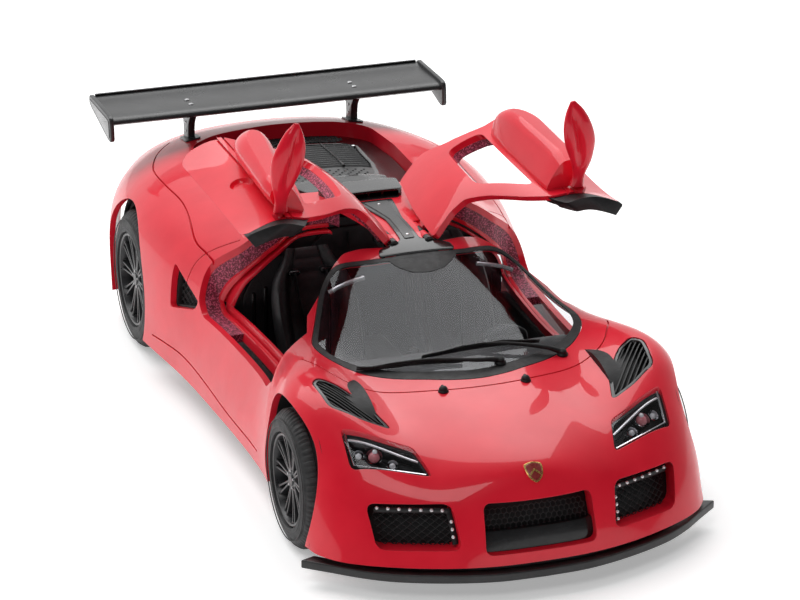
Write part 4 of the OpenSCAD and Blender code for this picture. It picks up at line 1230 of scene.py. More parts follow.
def make_washers():
    parts = []
    for side in SIDES:
        pod = lathe([(-0.5, 0.0), (-0.5, 1.05), (0.05, 1.05), (0.3, 0.85), (0.55, 0.85), (0.9, 0.6),
                     (1.05, 0.25), (1.1, 0.0)], (side * 8.5, -58.4, 29.45), "z", 28, closed=False)
        jet = ball((side * 8.5, -58.0, 30.2), 0.45, (0.7, 1.3, 0.8), detail=14)
        parts += [painted(pod, MATT_BLACK), painted(jet, GLOSS_BLACK)]
    piece("washer_jets", parts, replaces="washer_nozzles")


def make_roof():
    spine = [[-8, -18.7], [8, -18.7], [7.6, -16.8], [6, -15.9], [3.6, -15.5], [2, -14], [1.8, -4], [4, 9],
             [-4, 9], [-1.8, -4], [-2, -14], [-3.6, -15.5], [-6, -15.9], [-7.6, -16.8]]
    trim = painted(bevelled(patch(rounded(spine, 0.6), -0.35, 0.25, density=10), 0.14), GLOSS_BLACK)
    centre = np.array([[-1.1, -14], [1.1, -14], [0.95, -4], [2.6, 7.5], [-2.6, 7.5], [-0.95, -4]])
    inlay = painted(patch(rounded(centre, 0.5), -0.5, -0.2, density=10), WING_BLACK)
    screws = [dome((x, y), 0.35, -0.5, "z", STEEL, 0.4) for x, y in ((0, -12.5), (0, 5.5))]
    piece("roof_spine_trim", [trim, inlay] + screws, replaces="roof_strip")
    outer = rounded([[-7.2, 11.5], [7.2, 11.5], [8.8, 20.5], [-8.8, 20.5]], 1.4)
    hollow = np.array([[-6.2, 10.5], [6.2, 10.5], [7.2, 18.6], [-7.2, 18.6]])
    scoop = patch(outer, -1.7, 0.2, density=10)
    minus(scoop, patch(rounded(hollow, 0.8), -1.25, 0.5, density=10))
    painted(bevelled(scoop, 0.2, 3), GLOSS_BLACK)
    throat = painted(patch(rounded(hollow, 0.8), -0.1, 0.15, density=10), MATT_BLACK)
    vanes = [painted(bead([(x, 12.2), (x * 1.1, 18.0)], 0.22, -0.55, flat=3.2), GLOSS_BLACK)
             for x in (-3, 0, 3)]
    piece("roof_scoop", [scoop, throat] + vanes, replaces="intake_scoop")


# ---------------------------------------------------------------- engine deck

LOUVRE_HALF = [[0, 37], [11.2, 37], [14.2, 50], [15.4, 66], [13, 67.5], [0, 68.5]]


def slanted_bar(y, half, front, rear, thick, length):
    """One louvre slat across the deck, from its low front edge to its high rear edge."""
    xs = np.linspace(-half, half, 13)
    rings = []
    for x in xs:
        a, b = on_skin([(x, y)], front)[0], on_skin([(x, y + length)], rear)[0]
        drop_by = np.array([0, 0, thick])
        rings.append([a, b, b - drop_by, a - drop_by])
    return loft(rings)


def make_engine_cover():
    base = painted(patch(grown(ENGINE, -0.15), 3.3, 4.2, density=8), GLOSS_BLACK)
    louvre = rounded(whole(LOUVRE_HALF), 1.2)
    border = painted(bevelled(patch(louvre, 2.35, 3.5, hole=grown(louvre, -1.1), density=8), 0.15),
                     GLOSS_BLACK)
    slats = []
    for k in range(11):
        y = 47.4 + 1.75 * k
        half = np.interp(y, [37, 50, 66], [10.3, 13.2, 14.4])
        slats.append(painted(slanted_bar(y, half, 3.1, 2.25, 0.4, 1.0), WING_BLACK))
    apron = [[-10.2, 38.1], [10.2, 38.1], [12.6, 46.6], [-12.6, 46.6]]
    slats.append(painted(bevelled(patch(rounded(apron, 0.5), 2.4, 3.4, density=8), 0.12), WING_BLACK))
    for x, y in [(2.0 * i + (j % 2), 39.4 + 1.3 * j) for i in range(-5, 6) for j in range(5)]:
        if abs(x) < 9.6 + 0.28 * (y - 39):
            slats.append(dome((x, y), 0.28, 2.4, "z", MATT_BLACK, 0.6))
    rails = [painted(bead([(x, 47.2), (x * 1.1, 56), (x * 1.15, 66.6)], 0.28, 2.3, flat=1.4), GLOSS_BLACK)
             for x in (-6.2, 6.2)]
    hump = rounded([[-9, 24.5], [9, 24.5], [11, 34], [-11, 34]], 1.5)
    cover = painted(bevelled(patch(hump, 0.8, 3.5, density=8), 0.5, 3), GLOSS_BLACK)
    plate = painted(bevelled(patch(rounded([[-5, 26.5], [5, 26.5], [6.2, 32], [-6.2, 32]], 0.8), 0.45, 1.0,
                                   density=8), 0.12), WING_BLACK)
    net_back = whole([[0, 70.4], [12.6, 69.6], [14.6, 72.8], [12.5, 75.2], [0, 76.4]])
    rear_net = painted(lattice(rounded(net_back, 0.8), 1.1, 0.13, (35, -35), 2.75, "z"), GRILLE_BLACK)
    screws = [dome(p, 0.5, 2.2, "z", STEEL, 0.4) for p in ((-10.9, 38.2), (10.9, 38.2), (-14.4, 65),
                                                           (14.4, 65))]
    piece("engine_cover_louvred", [base, border, cover, plate, rear_net] + slats + rails + screws,
          replaces="engine_cover")


def make_side_intake(side):
    name = SIDE_NAME[side]
    net = painted(lattice(grown(INTAKE, -0.1), 1.25, 0.15, (25, -45), 2.3, "x"), GRILLE_BLACK)
    back = painted(patch(grown(INTAKE, 0.3), 2.9, 3.4, "x"), MATT_BLACK)
    lip = painted(bevelled(patch(grown(INTAKE, 0.25), 1.35, 2.6, "x", hole=shrunk(INTAKE, 0.45)), 0.1),
                  MATT_BLACK)
    piece(f"side_intake_{name}", [net, back, lip], replaces=f"side_mesh_{name}",
          side=side)


# ---------------------------------------------------------------- tail and wing

TAIL_Y = 82.2
TAIL_LAMPS = ((27.5, 24.5), (19.5, 26))
PIPES = ((4.6, 23.5), (-4.6, 23.5))


def make_tail():
    outline = rounded([[-33.5, 11], [-33.5, 22], [-31, 27], [-25, 31], [-12, 34], [12, 34], [25, 31],
                       [31, 27], [33.5, 22], [33.5, 11]], 1.5)
    panel = prism(outline, "y", TAIL_Y, TAIL_Y + 1.2)
    minus(panel, *[disc((s * x, TAIL_Y, z), 3.2, "y", 4) for s in SIDES for x, z in TAIL_LAMPS])
    minus(panel, *[disc((x, TAIL_Y, z), 2.7, "y", 4) for x, z in PIPES])
    parts = [painted(bevelled(panel, 0.2), MATT_BLACK)]
    for s in SIDES:
        for x, z in TAIL_LAMPS:
            parts.append(painted(lathe([(0.2, 3.15), (1.7, 3.25), (1.9, 3.6), (1.2, 3.9), (0.9, 3.9)],
                                       (s * x, TAIL_Y, z), "y", 40), CHROME))
    for k in range(9):
        z = 12.5 + 1.25 * k
        for s in SIDES:
            x_end = 8.6 if 19 < z < 27 else 0.4
            parts.append(painted(box((s * x_end, TAIL_Y + 1.1, z), (s * 15.0, TAIL_Y + 1.5, z + 0.45), 0.1),
                                 GRILLE_BLACK))
    plate = painted(box((-8, TAIL_Y + 1.1, 13.2), (8, TAIL_Y + 1.9, 18.6), 0.35), GLOSS_BLACK)
    piece("tail_panel_detail", parts + [plate], replaces="tail_panel")
    for s in SIDES:
        lamps = []
        for x, z in TAIL_LAMPS:
            lamps.append(lathe([(-0.5, 0), (-0.5, 3.1), (1.5, 3.1), (1.9, 2.8), (2.0, 2.1), (1.75, 1.95),
                                (1.75, 1.75), (2.05, 1.6), (2.35, 1.0), (2.4, 0)], (s * x, TAIL_Y, z), "y",
                                48, closed=False))
        piece(f"tail_lamp_{SIDE_NAME[s]}", lamps, RED_LENS, replaces=f"tail_light_{SIDE_NAME[s]}")
    pipes = [lathe([(-3, 2.6), (5.6, 2.6), (5.9, 2.68), (6.0, 2.45), (5.8, 2.15), (0, 2.1), (-0.4, 1.4),
                    (-0.5, 0.0), (-3, 0.0)], (x, TAIL_Y, z), "y", 48, closed=False) for x, z in PIPES]
    piece("exhaust_pipes", pipes, CHROME, replaces="exhaust_tips")


def make_diffuser():
    top = rounded([[TAIL_Y - 1.7, 3.6], [TAIL_Y - 1.7, 5.6], [TAIL_Y + 4, 5.6], [92.2, 4.9], [92.5, 4.5],
                   [92.5, 3.6]], 0.25)
    tray = prism(top, "x", -26, 26)
    parts = [bevelled(tray, 0.2)]
    for k in range(7):
        x = -24 + 8 * k
        fin = curve([(83.2, 5.5), (83.2, 9.4), (86, 9.2), (89.5, 7.8), (91.8, 5.5)], 4)
        parts.append(bevelled(prism(fin, "x", x - 0.45, x + 0.45), 0.12))
    apron = rounded([[-33, 11], [-33, 7.6], [-31.8, 7], [-26.5, 7], [-26, 5.6], [26, 5.6], [26.5, 7],
                     [31.8, 7], [33, 7.6], [33, 11]], 0.5)
    parts.append(bevelled(prism(apron, "y", TAIL_Y, TAIL_Y + 1.2), 0.2))
    piece("diffuser_fins", parts, BASE_BLACK, replaces="diffuser")


WING_Z = 45.2
WING_HALF = 38
WING_FRONT, WING_REAR = 74.6, 91.6


def make_wing():
    upper = curve([(WING_FRONT, WING_Z - 0.25), (WING_FRONT + 0.35, WING_Z + 0.4),
                   (WING_FRONT + 1.6, WING_Z + 0.85), (WING_FRONT + 5, WING_Z + 1.0),
                   (WING_REAR - 4, WING_Z + 0.85), (WING_REAR - 0.3, WING_Z + 1.3)], 5)
    lower = curve([(WING_REAR, WING_Z + 1.05), (WING_REAR - 0.5, WING_Z + 0.6),
                   (WING_REAR - 4, WING_Z - 0.15), (WING_FRONT + 5, WING_Z - 0.95),
                   (WING_FRONT + 1, WING_Z - 0.8)], 5)
    chord = np.concatenate([upper, lower])
    blade = painted(prism(chord, "x", -WING_HALF, WING_HALF), WING_BLACK)
    flap = painted(box((-WING_HALF + 0.3, WING_REAR - 0.75, WING_Z + 1.0),
                       (WING_HALF - 0.3, WING_REAR - 0.1, WING_Z + 1.75), 0.15), GLOSS_BLACK)
    bolts = []
    for s in SIDES:
        for y in (79.2, 82.4):
            bolts.append(painted(disc((s * 19, y, WING_Z + 1.02), 0.55, "z", 0.16, bevel=0.08, steps=20),
                                 STEEL))
    piece("wing_plane", [blade, flap] + bolts, replaces="wing_blade", angle=28)
    plate = curve([(WING_FRONT - 1.1, 41.9), (WING_FRONT - 0.8, 45.6), (WING_FRONT + 0.2, 46.7),
                   (WING_FRONT + 3, 46.9)], 5)
    plate = chain(plate, [(WING_REAR - 0.6, 46.9), (WING_REAR, 46.4), (WING_REAR, 45.0)],
                  curve([(WING_REAR - 2, 44.2), (WING_FRONT + 6, 42.2), (WING_FRONT + 1, 41.1),
                         (WING_FRONT - 0.6, 41.2)], 4))
    for s in SIDES:
        name = SIDE_NAME[s]
        end = bevelled(prism(plate, "x", WING_HALF, WING_HALF + 1), 0.22, 3)
        groove = bevelled(prism(grown(plate, -0.9), "x", WING_HALF + 0.85, WING_HALF + 1.12), 0.08)
        piece(f"wing_end_{name}", [painted(end, WING_BLACK), painted(groove, GLOSS_BLACK)],
              replaces=f"wing_endplate_{name}", side=s)
        leg = chain(curve([(77, 44.2), (78.6, 42.2), (79.1, 40.4), (79.2, 38.3)], 5),
                    curve([(83.2, 37.5), (82.9, 40.0), (83.6, 42.2), (86, 44.7)], 5), [(79.6, 44.1)])
        post = bevelled(prism(leg, "x", 18.2, 19.8), 0.3, 3)
        shoe = bevelled(patch(rounded([[17.2, 77.6], [20.8, 77.6], [20.6, 84], [17.4, 84]], 0.9), -0.35, 0.1,
                              density=12), 0.12)
        cuts = [painted(disc((19, 81, z), 0.32, "x", 0.95, bevel=0.1, steps=18), STEEL) for z in (39.6, 41.6)]
        piece(f"wing_post_{name}", [painted(post, WING_BLACK), painted(shoe, WING_BLACK)] + cuts,
              replaces=f"wing_strut_{name}", side=s)


make_windscreen()
make_wiper("wiper_near_wheel", (19.4, -49.8), (14, -48.4), ((16, -45.7), (-9, -47)), "wiper_left")
make_wiper("wiper_far", (5.8, -51.3), (0.5, -51.2), ((-1.5, -50.0), (-22.3, -46.4)), "wiper_right")
make_washers()
make_roof()
make_engine_cover()
make_tail()
make_diffuser()
make_wing()
for each_side in SIDES:
    make_side_intake(each_side)


# ---------------------------------------------------------------- wheels

RIM_FACE = 39.4
SPOKE_PAIRS = 10


def make_wheel(end, side, hub, tyre_r, rim_r, width):
    name = f"{end}_{SIDE_NAME[side]}"
    body = f"{end}_axle"
    centre = (0, hub[1], hub[2])
    back, face = RIM_FACE - width, RIM_FACE
    barrel = lathe([(back + 0.2, rim_r - 0.9), (back, rim_r - 0.3), (back + 0.5, rim_r), (face - 0.8, rim_r),
                    (face - 0.25, rim_r - 0.05), (face, rim_r - 0.35), (face - 0.1, rim_r - 0.75),
                    (face - 0.7, rim_r - 1.0), (face - 1.6, rim_r - 1.15), (face - 3.2, rim_r - 1.7),
                    (back + 1.5, rim_r - 1.7)], centre, "x", 96)
    parts = [painted(barrel, RIM_BLACK)]
    dish = lathe([(face - 6.4, 1.1), (face - 6.4, rim_r - 1.4), (face - 6.0, rim_r - 1.4), (face - 6.0, 1.1)],
                 centre, "x", 64)
    parts.append(painted(dish, MATT_BLACK))
    brake = lathe([(face - 5.9, 1.2), (face - 5.9, rim_r - 3.2), (face - 5.3, rim_r - 3.2),
                   (face - 5.3, 1.2)],
                  centre, "x", 64)
    parts.append(painted(brake, RIM_BLACK))
    hub_cap = lathe([(face - 6.0, 1.0), (face - 6.0, 2.8), (face - 2.4, 2.7), (face - 1.3, 2.5),
                     (face - 1.0, 2.2), (face - 1.0, 1.35), (face - 0.75, 1.2), (face - 0.7, 0.9),
                     (face - 0.85, 0.0)], centre, "x", 48,
                    closed=False)
    parts.append(painted(hub_cap, RIM_BLACK))
    spokes = []
    for k in range(SPOKE_PAIRS):
        for s in SIDES:
            reach = np.array([2.0, 3.4, 5.4, rim_r - 2.0, rim_r - 0.7])
            spread = math.radians(4.5) * s
            rings = []
            for r, deep, half in zip(reach, (1.3, 1.25, 1.15, 0.95, 0.75), (0.34, 0.30, 0.27, 0.30, 0.42)):
                near, far = 0.55 + 0.45 * r / rim_r, 1.9 - 0.9 * r / rim_r
                turn = 2 * math.pi * k / SPOKE_PAIRS + spread * near * far
                out = np.array([0, math.cos(turn), math.sin(turn)])
                tangent = np.array([0, -math.sin(turn), math.cos(turn)])
                c = np.array([face - deep, 0, 0]) + out * r
                rings.append([c + tangent * half,
                              c + tangent * half * 0.6 + [0.3, 0, 0],
                              c - tangent * half * 0.6 + [0.3, 0, 0],
                              c - tangent * half,
                              c - tangent * half * 0.8 - [1.3, 0, 0],
                              c + tangent * half * 0.8 - [1.3, 0, 0]])
            spokes.append(loft(np.array(rings) + np.array(centre)))
    parts.append(painted(joined(spokes), RIM_BLACK))
    for k in range(5):
        a = 2 * math.pi * k / 5 + 0.3
        parts.append(painted(disc((face - 0.95, hub[1] + 1.75 * math.cos(a), hub[2] + 1.75 * math.sin(a)),
                                  0.28, "x", 0.22, bevel=0.08, steps=6), STEEL))
    piece(f"rim_{name}", parts, body=body, replaces=f"{end}_rim_{SIDE_NAME[side]}",
          side=side, angle=40)
    make_tyre(name, end, side, body, centre, tyre_r, rim_r, width)


def make_tyre(name, end, side, body, centre, tyre_r, rim_r, width):
    face = RIM_FACE + 0.4
    back = face - width
    crown = 1.5
    half = [(0.0, rim_r + 0.1), (-0.05, rim_r + 0.6), (0.05, rim_r + 1.4), (0.25, tyre_r - 2.2),
            (0.6, tyre_r - 1.4), (1.0, tyre_r - 0.75), (crown, tyre_r - 0.35), (crown + 0.5, tyre_r - 0.05),
            (crown + 1.2, tyre_r)]
    outer = [(face - max(a, 0.0), r) for a, r in half]
    inner = [(back + max(a, 0.0), r) for a, r in half][::-1]
    grooves = []
    for k in (-1.5, -0.5, 0.5, 1.5):
        x = (face + back) / 2 - k * (width - 4.2) / 4
        grooves += [(x + 0.3, tyre_r), (x + 0.22, tyre_r - 0.55), (x - 0.22, tyre_r - 0.55),
                    (x - 0.3, tyre_r)]
    profile = outer + grooves + inner + [(back + 0.4, rim_r), (face - 0.4, rim_r)]
    shoulder = {5, 6, 7, 8, len(profile) - 11, len(profile) - 10, len(profile) - 9, len(profile) - 8}
    count = 72

    def ribs(angle, k):
        return -0.32 if k in shoulder and math.sin(angle * count) > 0 else 0.0

    tyre = lathe(profile, centre, "x", count * 4, wave=ribs)
    rings = []
    for r in (rim_r + 1.0, tyre_r - 1.9):
        rings.append(lathe([(face - 0.12, r - 0.12), (face + 0.06, r - 0.06), (face + 0.06, r + 0.06),
                            (face - 0.12, r + 0.12)], centre, "x", 96))
    piece(f"tyre_{name}", [tyre] + rings, RUBBER, body=body, replaces=f"{end}_tyre_{SIDE_NAME[side]}",
          side=side, angle=30)


for each_side in SIDES:
    make_wheel("front", each_side, FRONT_HUB, FRONT_HUB[2], 9.4, 10.4)
    make_wheel("rear", each_side, REAR_HUB, REAR_HUB[2], 10.4, 13.6)


# ---------------------------------------------------------------- doors and their openings

CREASE = [[-30, 30.9], [-26, 31.2], [0, 31.7], [20, 31.9]]
HANDLE = (-5, 29.4)
MIRROR_AXIS = [(31.2, -25.2, 31.2), (33.4, -25.9, 32.8), (36.0, -26.8, 35.0), (38.6, -27.2, 37.9),
               (40.8, -27.4, 40.9), (42.6, -27.3, 43.2), (43.9, -27.1, 44.9)]
MIRROR_WIDTH = [1.5, 1.3, 2.3, 3.2, 2.9, 1.9, 0.5]
MIRROR_THICK = [1.05, 0.7, 1.0, 1.5, 1.5, 1.1, 0.25]
SHOULDER_FRONT = [(26.3, 35.0), (29.6, 35.9), (33.0, 36.3), (34.4, 36.0), (35.6, 34.9), (36.1, 33.2),
                  (35.4, 31.4), (32.6, 30.6), (28.6, 31.6)]
SHOULDER_REAR = [(26.8, 37.7), (29.8, 39.2), (32.7, 40.6), (34.6, 40.6), (36.6, 39.3), (37.5, 36.4),
                 (36.8, 33.2), (33.6, 31.9), (30.2, 32.6)]


def make_shoulder():
    """The rounded shoulder that stands out of a door between its window and the ledge."""
    front, rear = np.array(SHOULDER_FRONT), np.array(SHOULDER_REAR)
    rings = []
    for t in np.linspace(0, 1, 25):
        section = front + (rear - front) * t
        if t < 0.1:
            rise = 0.55 + 0.45 * min(1, 4 * t + 0.6)
        else:
            rise = math.sqrt(max(0.0, 1 - max(0, t - 0.62) ** 2 / 0.15))
        middle = section[[0, 8]].mean(0)
        shape = rounded(middle + (section - middle) * (0.35 + 0.65 * rise), 1.2, 4)
        rings.append([(x, -23.2 + 31.4 * t, z) for x, z in shape])
    return loft(rings)


def make_door(side):
    name, body = SIDE_NAME[side], f"door_{SIDE_NAME[side]}"
    u, v = (6, 13), (9, LAST_V)
    skin = inside(layer(0, WALL, u, v, 10), door_space())
    lower = chain(CREASE, [[20, 10], [-30, 10]])
    minus(skin, inside(layer(-1, 0.42, u, v, 8), prism(lower, "x", 20, 60)))
    above = ribbon(curve(np.array(CREASE) + [0, 0.95], 6), 0.3)
    minus(skin, inside(layer(-1, 0.35, u, v, 8), prism(above, "x", 20, 60)))
    minus(skin, prism(WINDOW, "z", 30, 60))
    minus(skin, disc((HINGE_X, -9.75, HINGE_Z), 1.25, "y", 6.25))
    p, n = drop([HANDLE], "x")
    minus(skin, ball(p[0] + 0.75 * n[0], 2.7, detail=40))
    pod = make_shoulder()
    plus(skin, pod)
    piece(f"door_panel_{name}", skin, PAINT, body, f"door_skin_{name}", True, side, True)

    inner = inside(layer(WALL + 0.05, 2.1, u, v, 8), door_space(-1.6))
    minus(inner, prism(grown(WINDOW, 0.6), "z", 20, 60))
    upper_part = box((0, -40, 31.2), (60, 30, 60))
    reveal = inside(layer(0.5, 3.0, u, v, 8), prism(grown(WINDOW, 1.1), "z", 30, 60))
    minus(reveal, prism(grown(WINDOW, 0.05), "z", 20, 61))
    cup = inside(layer(WALL - 0.1, 2.0, u, v, 10), disc((p[0][0], HANDLE[0], HANDLE[1]), 3.2, "x", 6))
    rough = [painted(inside(inner, upper_part), SPECKLED), painted(reveal, SPECKLED), painted(cup, PAINT)]
    for line in ([(11, -11), (13.5, -1), (12, 9)], [(17.4, -12.5), (18.2, -3), (18.4, 6)]):
        rough.append(painted(bead(line, 0.45, 2.2, steps=5), SPECKLED))
    piece(f"door_inner_{name}", rough, body=body, side=side, door=True)

    card = inside(layer(WALL + 0.05, 2.2, u, v, 8), door_space(-0.7))
    minus(card, prism(WINDOW, "z", 20, 60))
    inside(card, box((20, -40, 20), (60, 30, 31.0)))
    tab = inside(layer(0.45, 3.2, u, v, 8), prism(rounded(TAB_PLAN, 0.6), "z", 22.8, 60))
    minus(tab, door_space(0.02, lo=10))
    joint = inside(layer(WALL + 0.3, 3.0, u, v, 8), prism(grown(TAB_PLAN, -0.3), "z", 23.2, 60))
    pull = painted(bead([(-14, 26.6), (-6, 26.9), (3, 26.4)], 0.6, 2.3, "x", steps=5), MATT_BLACK)
    pocket = painted(bead([(-20, 24.6), (-5, 24.3), (8, 24.5)], 0.3, 2.2, "x", steps=5), CABIN_BLACK)
    piece(f"door_card_{name}", [painted(card, CABIN_BLACK), painted(bevelled(tab, 0.15), MATT_BLACK),
                                painted(joint, MATT_BLACK), pull, pocket],
          body=body, replaces=f"door_trim_{name}", side=side, door=True)
    make_mirror(side, name, body)


def make_mirror(side, name, body):
    """A leaf-shaped mirror on a thin neck, with a groove down the face that looks forward."""
    axis = curve(MIRROR_AXIS, 6)
    t = np.linspace(0, len(MIRROR_AXIS) - 1, len(axis))
    wide = curve(np.array(MIRROR_WIDTH)[:, None], 6)[:, 0]
    thick = curve(np.array(MIRROR_THICK)[:, None], 6)[:, 0]
    run = np.gradient(axis, axis=0)
    run /= np.linalg.norm(run, axis=1, keepdims=True)
    rings = []
    for c, d, w, h, s in zip(axis, run, wide, thick, t):
        across = np.cross(d, [0, 1, 0])
        across /= np.linalg.norm(across)
        a = np.linspace(0, 2 * math.pi, 40, endpoint=False)
        x, y = w * np.cos(a), h * np.sin(a)
        groove = 1.1 * np.clip(1.6 - abs(s - 3.6) * 0.75, 0, 1) * np.exp(-((x - 0.5) / 0.7) ** 2)
        y = np.where(np.sin(a) < 0, y + groove, y)
        rings.append(c + np.outer(x, across) + np.outer(y, [0, 1, 0]))
    pod = painted(loft(rings), PAINT)
    glass = painted(ball((39.6, -26.1, 40.5), 1.0, (1.9, 0.35, 1.9), detail=28), CHROME)
    foot_plate = painted(bead([(30.2, -24.0), (31.4, -26.4)], 1.0, 0.0, flat=0.45), PAINT)
    piece(f"door_mirror_{name}", [pod, glass, foot_plate], body=body, replaces=f"mirror_{name}",
          side=side, door=True, angle=50)


def make_jambs(side):
    """The rough cast wall round the back of a door opening, with two smooth lips inside it."""
    name = SIDE_NAME[side]
    u, v = (7.5, 13.5), (9, LAST_V)
    reach = box((7.5, 1.0, 18), (46, 20, 47))
    band = inside(layer(WALL - 0.1, 4.6, u, v, 8), minus(door_space(2.2), door_space(DOOR_GAP + 0.05)), reach)
    lips = []
    for near, deep, by in ((4.1, 4.9, 0.0), (5.4, 6.0, -1.0)):
        for block in (box((9, 4.0, 24.2), (46, 20, 47)), box((20, -26, 18), (46, 14.4, 24.2))):
            lips.append(inside(layer(near, deep, (5.5, 13.5), v, 8), minus(door_space(1.9), door_space(by)),
                               block))
    piece(f"door_jamb_{name}", [painted(band, SPECKLED)] + [painted(bevelled(o, 0.15), PAINT) for o in lips],
          side=side, angle=30)


for each_side in SIDES:
    make_door(each_side)
    make_jambs(each_side)


# ---------------------------------------------------------------- cabin

def make_tub():
    walls = minus(box((-30, -37, 5.6), (30, 13, 20), 0.8), box((-28.6, -35.6, 7), (28.6, 14.5, 24)))
    parts = [painted(walls, CABIN_BLACK)]
    tunnel = prism(rounded([[-3.8, 6.8], [-3.6, 12.6], [-2.6, 14], [2.6, 14], [3.6, 12.6], [3.8, 6.8]], 0.6),
                   "y", -31, 12)
    parts.append(painted(bevelled(tunnel, 0.4), CABIN_BLACK))
    for s in SIDES:
        for k in range(9):
            x = s * (6.5 + 2.4 * k)
            parts.append(painted(box((x - 0.45, -34, 6.9), (x + 0.45, -25, 7.5), 0.2), MATT_BLACK))
        parts.append(painted(box((s * 28.4, -33, 19.2), (s * 30.4, 11, 20.5), 0.5), MATT_BLACK))
        if s == RIGHT:
            continue
        for k, x in enumerate((9.5, 14, 18.5)):
            pedal = turned(box((-1.1, -0.3, -1.6), (1.1, 0.3, 1.6), 0.25), -25, "X")
            parts.append(painted(moved(pedal, Matrix.Translation((x, -33.2, 11.5 - 0.4 * k))), STEEL))
    for k in range(6):
        parts.append(painted(box((-1.6, -28.5 + 2.2 * k, 13.9), (1.6, -27.1 + 2.2 * k, 14.35), 0.18),
                             GLOSS_BLACK))
    parts.append(painted(lathe([(13.9, 0), (13.9, 1.5), (14.5, 1.5), (14.6, 0.8), (14.4, 0)], (0, -9.5, 0),
                               "z", 32, closed=False), STEEL))
    piece("cabin_tub", parts, replaces="interior_tub")


def make_bulkhead():
    outline = rounded([[-30, 5.6], [-30, 26], [-25, 35], [-15, 40.5], [15, 40.5], [25, 35], [30, 26],
                       [30, 5.6]], 2)
    parts = [painted(bevelled(prism(outline, "y", 13.2, 14.4), 0.2), CABIN_BLACK)]
    pad = rounded([[-13, 22], [-13, 34.5], [-9, 38.6], [9, 38.6], [13, 34.5], [13, 22]], 2)
    parts.append(painted(bevelled(prism(pad, "y", 12.5, 13.4), 0.35, 3), SEAT_BLACK))
    for s in SIDES:
        side_pad = rounded([[15, 9], [15, 35], [23.5, 33], [27.6, 26], [27.6, 9]], 1.6)
        side_pad = side_pad if s == LEFT else flipped(side_pad)
        parts.append(painted(bevelled(prism(side_pad, "y", 12.4, 13.4), 0.4, 3), SEAT_BLACK))
        for k in range(4):
            x = s * (17.5 + 2.6 * k)
            parts.append(painted(box((x - 0.4, 11.95, 11), (x + 0.4, 12.6, 29.5 - k), 0.25), GLOSS_BLACK))
        parts.append(painted(tube([(s * 4.5, 12.3, 37.6), (s * 4.5, 11.2, 30), (s * 5, 12.2, 22)], 0.28, 8),
                             MATT_BLACK))
    parts.append(painted(tube([(-12, 12.1, 30.5), (0, 11.9, 30.8), (12, 12.1, 30.5)], 0.5, 12), MATT_BLACK))
    piece("cabin_bulkhead", parts, replaces="rear_bulkhead")


SEAT_PATH = [(-24.5, 9.6), (-24.2, 12.2), (-21.5, 13.4), (-14, 12.4), (-6.5, 12.0), (-1.5, 13.4), (1.6, 18),
             (4.6, 24.5), (7.2, 30), (8.6, 33.6), (9.8, 36.2)]
SEAT_HALF = [6.4, 7.2, 7.9, 8.3, 8.5, 8.6, 8.7, 8.8, 7.9, 5.6, 4.4]
SEAT_BOLSTER = [0.2, 1.0, 1.9, 2.3, 2.8, 3.6, 3.6, 3.0, 2.2, 1.2, 0.6]


def make_seat(side):
    """A bucket seat: sewn cushion and back between raised bolsters, with belt slots at shoulder height."""
    steps = 6
    path = curve(SEAT_PATH, steps)
    half = curve(np.array(SEAT_HALF)[:, None], steps)[:, 0]
    bolster = curve(np.array(SEAT_BOLSTER)[:, None], steps)[:, 0]
    run = np.gradient(path, axis=0)
    run /= np.linalg.norm(run, axis=1, keepdims=True)
    face = np.stack([-run[:, 1], run[:, 0]], 1)
    f = np.linspace(-1, 1, 33)
    rings = []
    for k in range(len(path)):
        edge = np.clip((np.abs(f) - 0.55) / 0.33, 0, 1)
        rise = bolster[k] * edge ** 2 * (3 - 2 * edge)
        rise -= 0.5 * np.exp(-((np.abs(f) - 0.58) / 0.035) ** 2)
        channel = math.cos(2 * math.pi * k / 5)
        rise = rise - np.where(np.abs(f) < 0.56, 0.32 * max(channel, 0) ** 4, 0)
        rise = rise * np.where(np.abs(f) > 0.97, 0.75, 1)
        top = np.stack([f * half[k], path[k, 0] + rise * face[k, 0], path[k, 1] + rise * face[k, 1]], 1)
        low = path[k] - 2.3 * face[k]
        under = np.stack([f[::-1] * half[k] * 0.97, np.full(33, low[0]), np.full(33, low[1])], 1)
        rings.append(np.concatenate([top, under]))
    shell = loft(rings)
    parts = [painted(shell, SEAT_BLACK)]
    for s in SIDES:
        parts.append(painted(box((s * 2.2, 6.7, 31.2), (s * 4.8, 8.6, 32.2), 0.3), GLOSS_BLACK))
        belt = [(s * 3.4, 7.0, 31.6), (s * 3.2, 4.0, 26), (s * 2.4, 1.2, 19.5), (s * 1.0, -2.2, 14.4)]
        parts.append(painted(tube(curve(belt, 5), 0.75, 8, flat=0.25, up=(1, 0, 0)), MATT_BLACK))
        parts.append(painted(tube([(s * 6.5, -20, 8.2), (s * 6.5, 2, 8.2)], 0.55, 10), STEEL))
    parts.append(painted(disc((0, -2.6, 14.4), 1.0, "z", 0.3, bevel=0.15), STEEL))
    seat = joined(parts)
    moved(seat, Matrix.Translation((14.5, 0, 0)))
    name = SIDE_NAME[side]
    piece(f"bucket_seat_{name}", seat, replaces=f"seat_{name}", side=side, angle=50)


